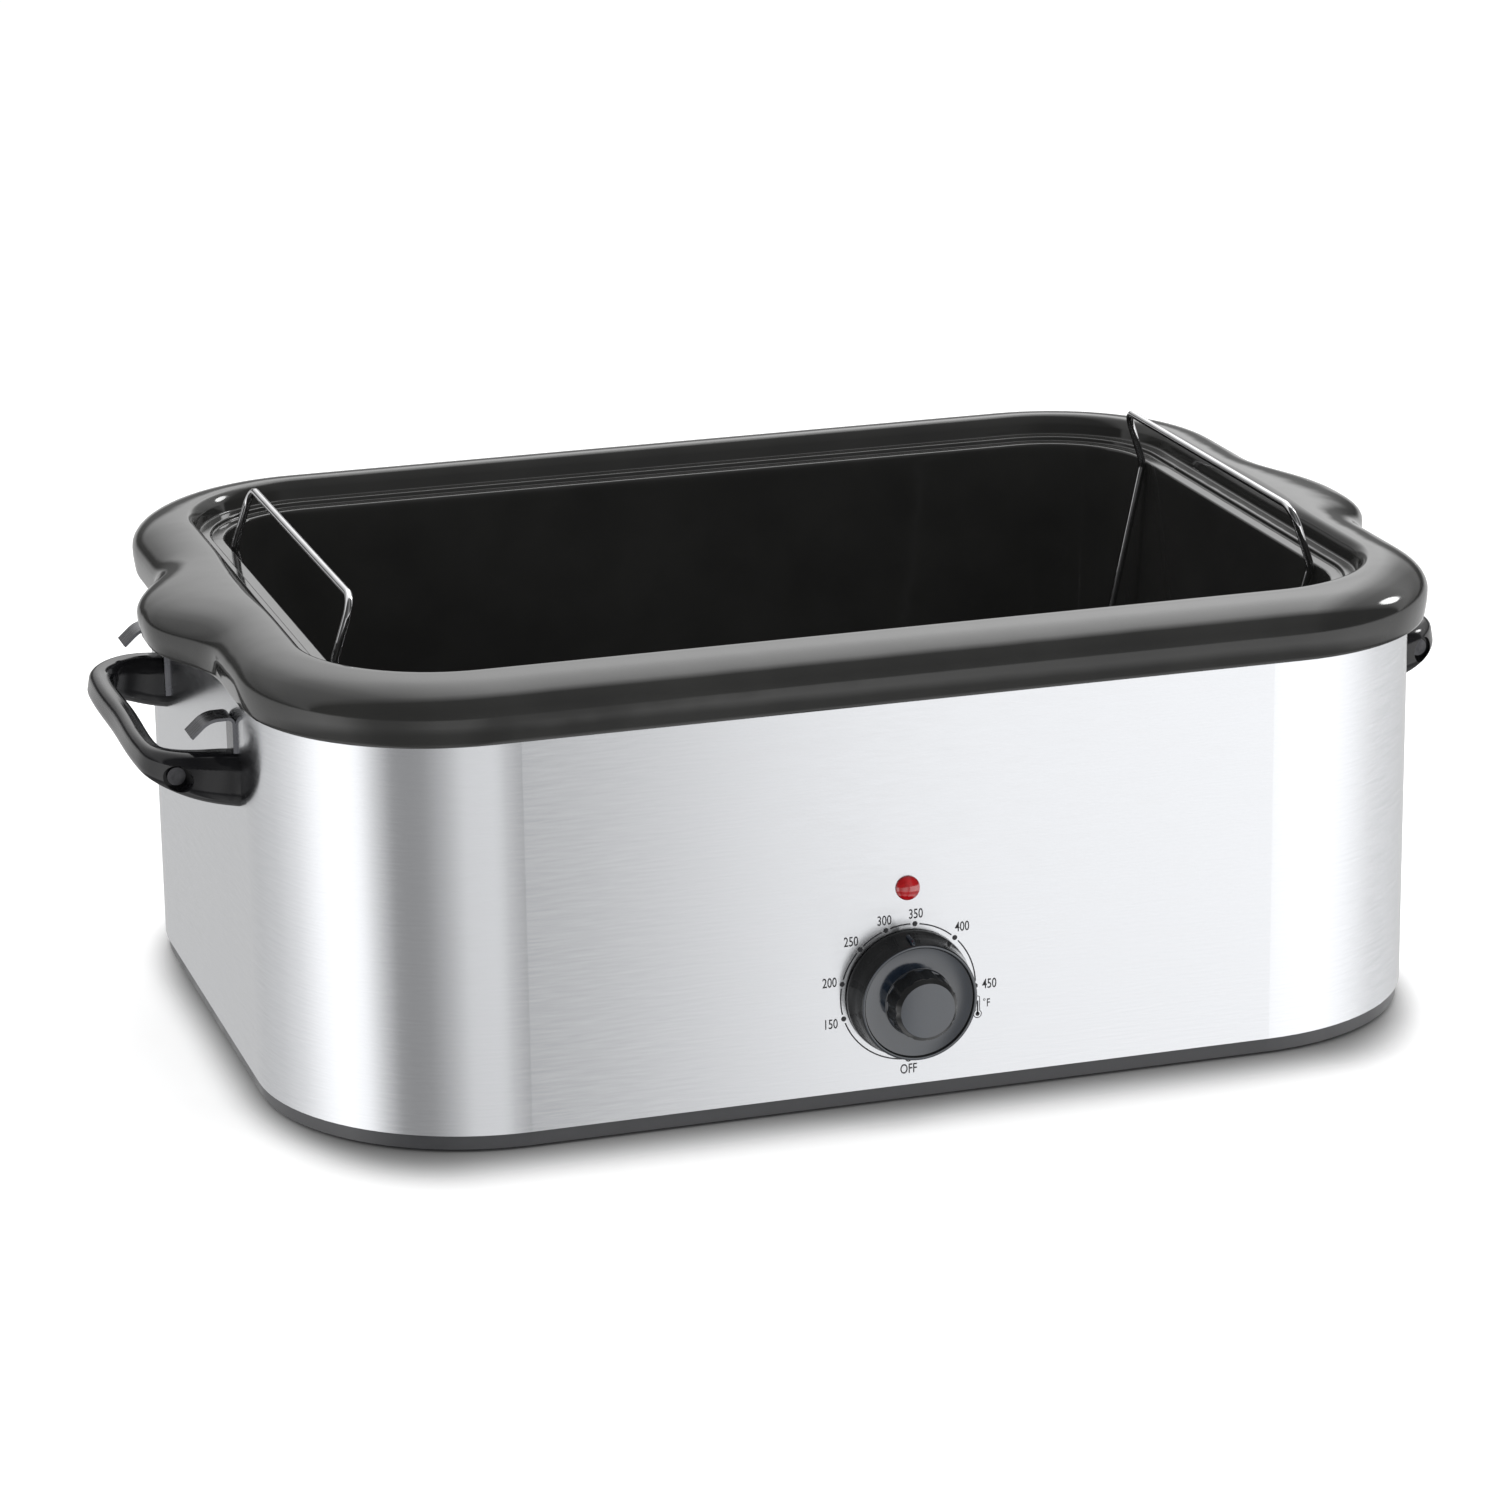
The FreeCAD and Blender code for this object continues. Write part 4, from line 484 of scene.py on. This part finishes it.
# Outlines, as distance from the axis and distance out from the wrap.
skirt = softened([(ON_AXIS, 8), (24.6, 8), (25.9, 0.8), (28.3, 0.8), (28.1, 2.8), (27.3, 5.4), (26.8, 8),
                  (26.05, 15.3), (24.7, 15.3), (24.3, GRIP_FOOT), (GRIP_RADIUS + 0.6, GRIP_FOOT)],
                 [1, 0.4, 0.3, 2, 8, 8, 0.6, 0.3, 0.25])
grip = softened([(GRIP_RADIUS + 0.3, GRIP_FOOT), (GRIP_RADIUS - 0.1, GRIP_FOOT + 0.2), (14.1, 24.1),
                 (12.2, GRIP_END), (ON_AXIS, GRIP_END)], [0.3, 1.5, 0.25], steps=8)


def rings_in_front(centre, radius, out, angle):
    """Rings about a line through the front: radius times sine and cosine, set out by each ring's depth."""
    x, z = radius * np.sin(angle), radius * np.cos(angle)
    return np.stack([centre[0] + x, centre[1] - out + 0 * x, centre[2] + z], -1) * MM


def fluted_knob(outline, columns=288):
    """Rings about the shaft's axis; a ring's radius is the outline's, or less where a flute cuts it.

    A flute is a round rod beside the grip: at an angle from its middle its near side lies at the centre's
    distance times the cosine, less the root of the rod's radius squared minus the sine's share squared."""
    radius, out = outline.T[:, :, None]
    angle = np.linspace(0, 2 * np.pi, columns, endpoint=False)[None]
    aside = (angle * FLUTES / (2 * np.pi) + 0.5) % 1 * 2 * np.pi / FLUTES - np.pi / FLUTES
    centre = GRIP_RADIUS + FLUTE_RADIUS - FLUTE_DEPTH
    hidden = FLUTE_RADIUS ** 2 - (centre * np.sin(aside)) ** 2
    cut = np.where(hidden > 0, centre * np.cos(aside) - np.sqrt(np.maximum(hidden, 0)), radius)
    on_grip = (out > GRIP_FOOT + FLUTE_START) & (radius < GRIP_RADIUS + 1)
    return rings_in_front(CONTROL, np.where(on_grip, np.minimum(radius, cut), radius), out, angle)


def face_outward(thing, doubled=1e-6):
    """Merges a closed piece's doubled points, those closer than a given distance, and turns its faces out."""
    shape = bmesh.new()
    shape.from_mesh(thing.data)
    bmesh.ops.remove_doubles(shape, verts=shape.verts, dist=doubled)
    bmesh.ops.recalc_face_normals(shape, faces=shape.faces)
    shape.to_mesh(thing.data)
    shape.free()


def rounded_bar(start, end, half_width, half_height, across_way, rise_way, ends=9, around=24):
    """Bar with a squarish round section that closes to a point at both ends.

    Along it the section grows as the fourth root of one minus the fourth power of the way from the
    middle; round it the two half widths follow the cosine's and sine's square roots, with their signs."""
    along = -np.cos(np.linspace(0, np.pi, ends))[:, None, None]
    size = (1 - np.minimum(along ** 4, 0.9999)) ** 0.25
    turn = np.linspace(0, 2 * np.pi, around, endpoint=False)[None, :, None]
    wide = np.sign(np.cos(turn)) * np.abs(np.cos(turn)) ** 0.5 * half_width
    high = np.sign(np.sin(turn)) * np.abs(np.sin(turn)) ** 0.5 * half_height
    middle = (start + end) / 2 + along * (end - start) / 2
    return (middle + size * (wide * across_way + high * rise_way)) * MM


knob = piece("dial_knob", skin(fluted_knob(np.concatenate([skirt, grip]))), sharp=50)
sideways = np.array((np.cos(KNOB_TURNED), 0, -np.sin(KNOB_TURNED)))
outward = np.array((np.sin(KNOB_TURNED), 0, np.cos(KNOB_TURNED)))
rib_foot, rib_tip = (CONTROL + outward * radius + (0, -out, 0) for radius, out in (RIB_FOOT, RIB_TIP))
rib_bar = rounded_bar(rib_foot, rib_tip, RIB_HALF_WIDTH, RIB_HALF_HEIGHT, sideways, outward)
rib = piece("pointer_rib", skin(rib_bar))
for thing in (knob, rib):
    face_outward(thing)
    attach(thing, "control")
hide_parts("control_knob")
dress(finish("knob_phenolic", dark=(0.012, 0.0125, 0.013), light=(0.020, 0.0205, 0.021),
             rough=(0.11, 0.17), pitch=50, bump=0.06, depth=0.0003, raised="Broad", IOR=1.45), knob)
# The flats that face the cook and the rib get a lit copy of the phenolic: a little smoother, with a
# stronger reflection and a painted bluish sheen, so that they show brighter than the rest.
polished_painted_sheen = finish("polished_phenolic_painted_sheen", dark=(0.008, 0.013, 0.022), light=(0.012, 0.019, 0.030),
                  rough=(0.09, 0.13), pitch=50, bump=0.05, depth=0.0003, raised="Broad", IOR=1.75)
dress(polished_painted_sheen, rib)
knob.data.materials.append(polished_painted_sheen)
# Faces turned to the front take the copy with the painted sheen.
directions = np.zeros(len(knob.data.polygons) * 3)
knob.data.polygons.foreach_get("normal", directions)
knob.data.polygons.foreach_set("material_index", (directions[1::3] < FACING_COOK).astype(np.int32))
dress(finish("turned_steel", dark=(0.5, 0.5, 0.51), light=(0.62, 0.62, 0.62), rough=(0.2, 0.35),
             pitch=(40, 500, 40), bump=0.2, Metallic=1.0), "control_shaft")


# Dial ---------------------------------------------------------------------------------------------
# Screen printed on the wrap in dark grey: a ring from OFF to the highest heat, a dot and a figure at
# each setting, and a thermometer beside the sign for degrees.
INK_FOOT, INK = 0.01, 0.06              # how far the print's back and its face stand out of the wrap
RING_RADIUS, RING_LINE, DOT_RADIUS, DOT_GAP = 30.6, 0.6, 1.15, 3.9
OFF_AT, OFF_DISTANCE, OFF_MARK_RADIUS, OFF_MARK_LINE = 180.0, 35.2, 1.25, 0.5
# Clock angle of each dot, and clock angle and distance from the axis of its figure.
SETTINGS = (("150", -107, -107, 36.4), ("200", -77, -77, 36.4), ("250", -45, -45, 36.3),
            ("300", -19, -17.5, 35.1), ("350", 6, 6, 35.2), ("400", 44, 42.5, 36.4), ("450", 92, 91, 37.0))
FIGURE_HEIGHT, FIGURE_NARROWING, FIGURE_WEIGHT = 4.4, 0.72, 0.009
SCALE_LETTER_AT, SCALE_LETTER_HEIGHT = (36.6, -9.4), 3.6
DEGREE_AT, DEGREE_RADIUS, DEGREE_LINE = (34.7, -7.9), 0.42, 0.25
STEM_RIGHT, STEM_TOP, STEM_FOOT, STEM_HALF, STEM_LINE = 31.6, -6.8, -12.6, 0.95, 0.35
BULB_RADIUS, LIQUID_RADIUS, LIQUID_LINE, LIQUID_BELOW_TOP = 1.75, 0.95, 0.7, 1.2


def on_front(right, above, out):
    """Point on the wrap's front, from the shaft's axis to the right and up, and out of the sheet."""
    right, above, out = np.broadcast_arrays(right, above, out)
    return np.stack([CONTROL[0] + right, CONTROL[1] - out, CONTROL[2] + above], -1) * MM


def printed_line(right, above, width):
    """Flat ribbon of ink along a path, its four corners half a line's width to each side of it.

    The side direction is the path's own, turned by a right angle."""
    right, above = np.asarray(right, float), np.asarray(above, float)
    way = np.stack([np.gradient(right), np.gradient(above)])
    way = way / np.hypot(*way)
    aside = np.array([-1, 1, 1, -1])[None] * width / 2
    raised = np.array([INK_FOOT, INK_FOOT, INK, INK])[None]
    return skin(on_front(right[:, None] - way[1][:, None] * aside,
                         above[:, None] + way[0][:, None] * aside, raised))


def clock(degrees, radius):
    """Right and up of a point at a clock angle: the radius times the sine and times the cosine."""
    angle = np.radians(degrees)
    return radius * np.sin(angle), radius * np.cos(angle)


def printed_ring(right, above, radius, width):
    """Circle of ink: a line through the points at each angle's sine and cosine."""
    turn = np.linspace(0, 2 * np.pi, 33)
    return printed_line(right + radius * np.sin(turn), above + radius * np.cos(turn), width)


def printed_dot(right, above, radius, sides=28):
    """Disc of ink: a small and a full circle behind, the same in front, closed at both middles."""
    turn = np.linspace(0, 2 * np.pi, sides, endpoint=False)[None]
    radii = radius * np.array([0.3, 1, 1, 0.3])[:, None]
    raised = np.array([INK_FOOT, INK_FOOT, INK, INK])[:, None]
    return skin(on_front(right + radii * np.sin(turn), above + radii * np.cos(turn), raised))


def printed_word(text, right, above, height):
    """Points and faces of a word laid flat on the front, its middle at the given place."""
    curve = bpy.data.curves.new(text, "FONT")
    curve.body = text
    curve.extrude = INK / 2
    curve.offset = FIGURE_WEIGHT
    curve.resolution_u = 4
    word = bpy.data.objects.new(text, curve)
    mesh = bpy.data.meshes.new_from_object(word)
    flat = np.zeros(len(mesh.vertices) * 3)
    mesh.vertices.foreach_get("co", flat)
    flat = flat.reshape(-1, 3)
    low, high = flat.min(0), flat.max(0)
    size = height / (high[1] - low[1])
    flat = flat - (low + high) / 2
    points = on_front(right + flat[:, 0] * size * FIGURE_NARROWING, above + flat[:, 1] * size,
                      INK_FOOT + INK / 2 + flat[:, 2])
    faces = [list(polygon.vertices) for polygon in mesh.polygons]
    bpy.data.objects.remove(word)
    return points, faces


dots = [dot for _, dot, _, _ in SETTINGS]
arcs = zip([OFF_AT - 360] + dots[:-1], dots)
print_parts = [printed_line(*clock(np.linspace(start + DOT_GAP, stop - DOT_GAP, 24), RING_RADIUS), RING_LINE)
               for start, stop in arcs]
print_parts += [printed_dot(*clock(dot, RING_RADIUS), DOT_RADIUS) for dot in dots]
print_parts.append(printed_ring(*clock(OFF_AT, RING_RADIUS), OFF_MARK_RADIUS, OFF_MARK_LINE))
# Thermometer: an outline with a round top and a bulb, and the column of liquid inside it.
bulb_open = np.arcsin(STEM_HALF / BULB_RADIUS)
bulb_level = STEM_FOOT - BULB_RADIUS * np.cos(bulb_open)
cap = np.linspace(-np.pi / 2, np.pi / 2, 9)
bulb = np.linspace(bulb_open, 2 * np.pi - bulb_open, 21)
glass_right = np.concatenate([STEM_HALF * np.sin(cap), BULB_RADIUS * np.sin(bulb), [-STEM_HALF]])
glass_above = np.concatenate([STEM_TOP + STEM_HALF * np.cos(cap), bulb_level + BULB_RADIUS * np.cos(bulb),
                              [STEM_TOP]])
print_parts.append(printed_line(STEM_RIGHT + glass_right, glass_above, STEM_LINE))
print_parts.append(printed_line([STEM_RIGHT] * 2, [bulb_level, STEM_TOP - LIQUID_BELOW_TOP], LIQUID_LINE))
print_parts.append(printed_dot(STEM_RIGHT, bulb_level, LIQUID_RADIUS))
print_parts += [printed_word(text, *clock(at, far), FIGURE_HEIGHT) for text, _, at, far in SETTINGS]
print_parts.append(printed_word("OFF", *clock(OFF_AT, OFF_DISTANCE), FIGURE_HEIGHT))
print_parts.append(printed_word("F", *SCALE_LETTER_AT, SCALE_LETTER_HEIGHT))
print_parts.append(printed_ring(*DEGREE_AT, DEGREE_RADIUS, DEGREE_LINE))
ink = piece("dial_print", *print_parts, smooth=False)
face_outward(ink)
dress(finish("grey_ink", dark=(0.022, 0.022, 0.025), light=(0.036, 0.036, 0.040), rough=(0.45, 0.6),
             pitch=400, bump=0.1), ink)
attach(ink, "housing")


# Pilot lamp ---------------------------------------------------------------------------------------
# A jewel of clear red plastic, plain and domed, snapped into the wrap over a neon bulb. A spring clip
# holds it from inside.
JEWEL_PLACE = (0.0, -196.0, 97.5)
BARREL_RADIUS, BARREL_DEPTH = 4.0, 7
DOME_RADIUS, DOME_EDGE, DOME_SWELL = 5.4, 0.5, 2.9
barrel = softened([(ON_AXIS, -BARREL_DEPTH), (BARREL_RADIUS, -BARREL_DEPTH), (BARREL_RADIUS, 0),
                   (DOME_RADIUS, 0), (DOME_RADIUS, DOME_EDGE)], [0.4, 0.2, 0.2])
swell = np.linspace(0.1, 0.999, 14) * np.pi / 2
dome = np.stack([DOME_RADIUS * np.cos(swell), DOME_EDGE + DOME_SWELL * np.sin(swell)], 1)
radius, out = np.concatenate([barrel, dome]).T[:, :, None]
turn = np.linspace(0, 2 * np.pi, 64, endpoint=False)[None]
jewel = piece("pilot_jewel", skin(rings_in_front(JEWEL_PLACE, radius, out, turn)), sharp=60)
face_outward(jewel)
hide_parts("pilot_lens")
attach(jewel, "housing")
dress(finish("red_lens", dark=(0.33, 0.004, 0.006), light=(0.48, 0.008, 0.012), rough=(0.04, 0.08),
             pitch=300, IOR=1.55, Coat_Weight=1.0, Coat_Roughness=0.03), jewel)
dress(finish("neon_glass", dark=(0.75, 0.25, 0.10), light=(0.85, 0.35, 0.15), rough=(0.05, 0.1),
             pitch=100), "lamp_bulb")


# Heating well -------------------------------------------------------------------------------------
# Aluminium drawn to the pan's shape. A ribbon heater in a woven glass sleeve, browned by its heat, is
# clamped round it, glass wool is wrapped outside that, and an aluminium sheet below shields the base.
dress(finish("drawn_aluminium", dark=(0.50, 0.51, 0.52), light=(0.68, 0.68, 0.67), rough=(0.35, 0.5),
             pitch=(22, 22, 60), bump=0.3, Metallic=1.0), "heating_well")
dress(finish("browned_sleeve", dark=(0.28, 0.22, 0.15), light=(0.50, 0.44, 0.34), rough=(0.3, 0.55),
             pitch=(40, 40, 160), bump=0.4), "heating_band")
dress(finish("glass_wool", dark=(0.60, 0.53, 0.30), light=(0.86, 0.82, 0.64), rough=(0.85, 1.0),
             pitch=(60, 60, 160), bump=0.9, depth=0.002), "insulation_blanket")
dress(finish("aluminium_sheet", dark=(0.46, 0.48, 0.50), light=(0.66, 0.68, 0.69), rough=(0.3, 0.5),
             pitch=70, bump=0.1, Metallic=1.0), "heat_shield")


# Thermostat and wiring ----------------------------------------------------------------------------
# A bulbless thermostat moulded in brown phenolic, with a strip of red brass that feels the well's heat.
# Leads in glass sleeves run to a block of unglazed ceramic, and the cord's bushing is black plastic.
dress(finish("brown_phenolic", dark=(0.055, 0.028, 0.016), light=(0.085, 0.045, 0.026),
             rough=(0.3, 0.45), pitch=120, bump=0.2), "thermostat_body")
dress(finish("red_brass", dark=(0.72, 0.40, 0.27), light=(0.85, 0.52, 0.38), rough=(0.2, 0.4),
             pitch=80, bump=0.1, Metallic=1.0), "sensor_strip")
dress(finish("white_ceramic", dark=(0.74, 0.72, 0.66), light=(0.84, 0.82, 0.77), rough=(0.4, 0.6),
             pitch=120, bump=0.15), "terminal_block")
dress(finish("glass_sleeve", dark=(0.42, 0.40, 0.38), light=(0.55, 0.53, 0.50), rough=(0.6, 0.8),
             pitch=200, bump=0.2), "lead_wires")
dress(finish("bushing_plastic", dark=(0.015, 0.015, 0.015), light=(0.03, 0.03, 0.03), rough=(0.5, 0.7),
             pitch=150, bump=0.2), "cord_bushing")
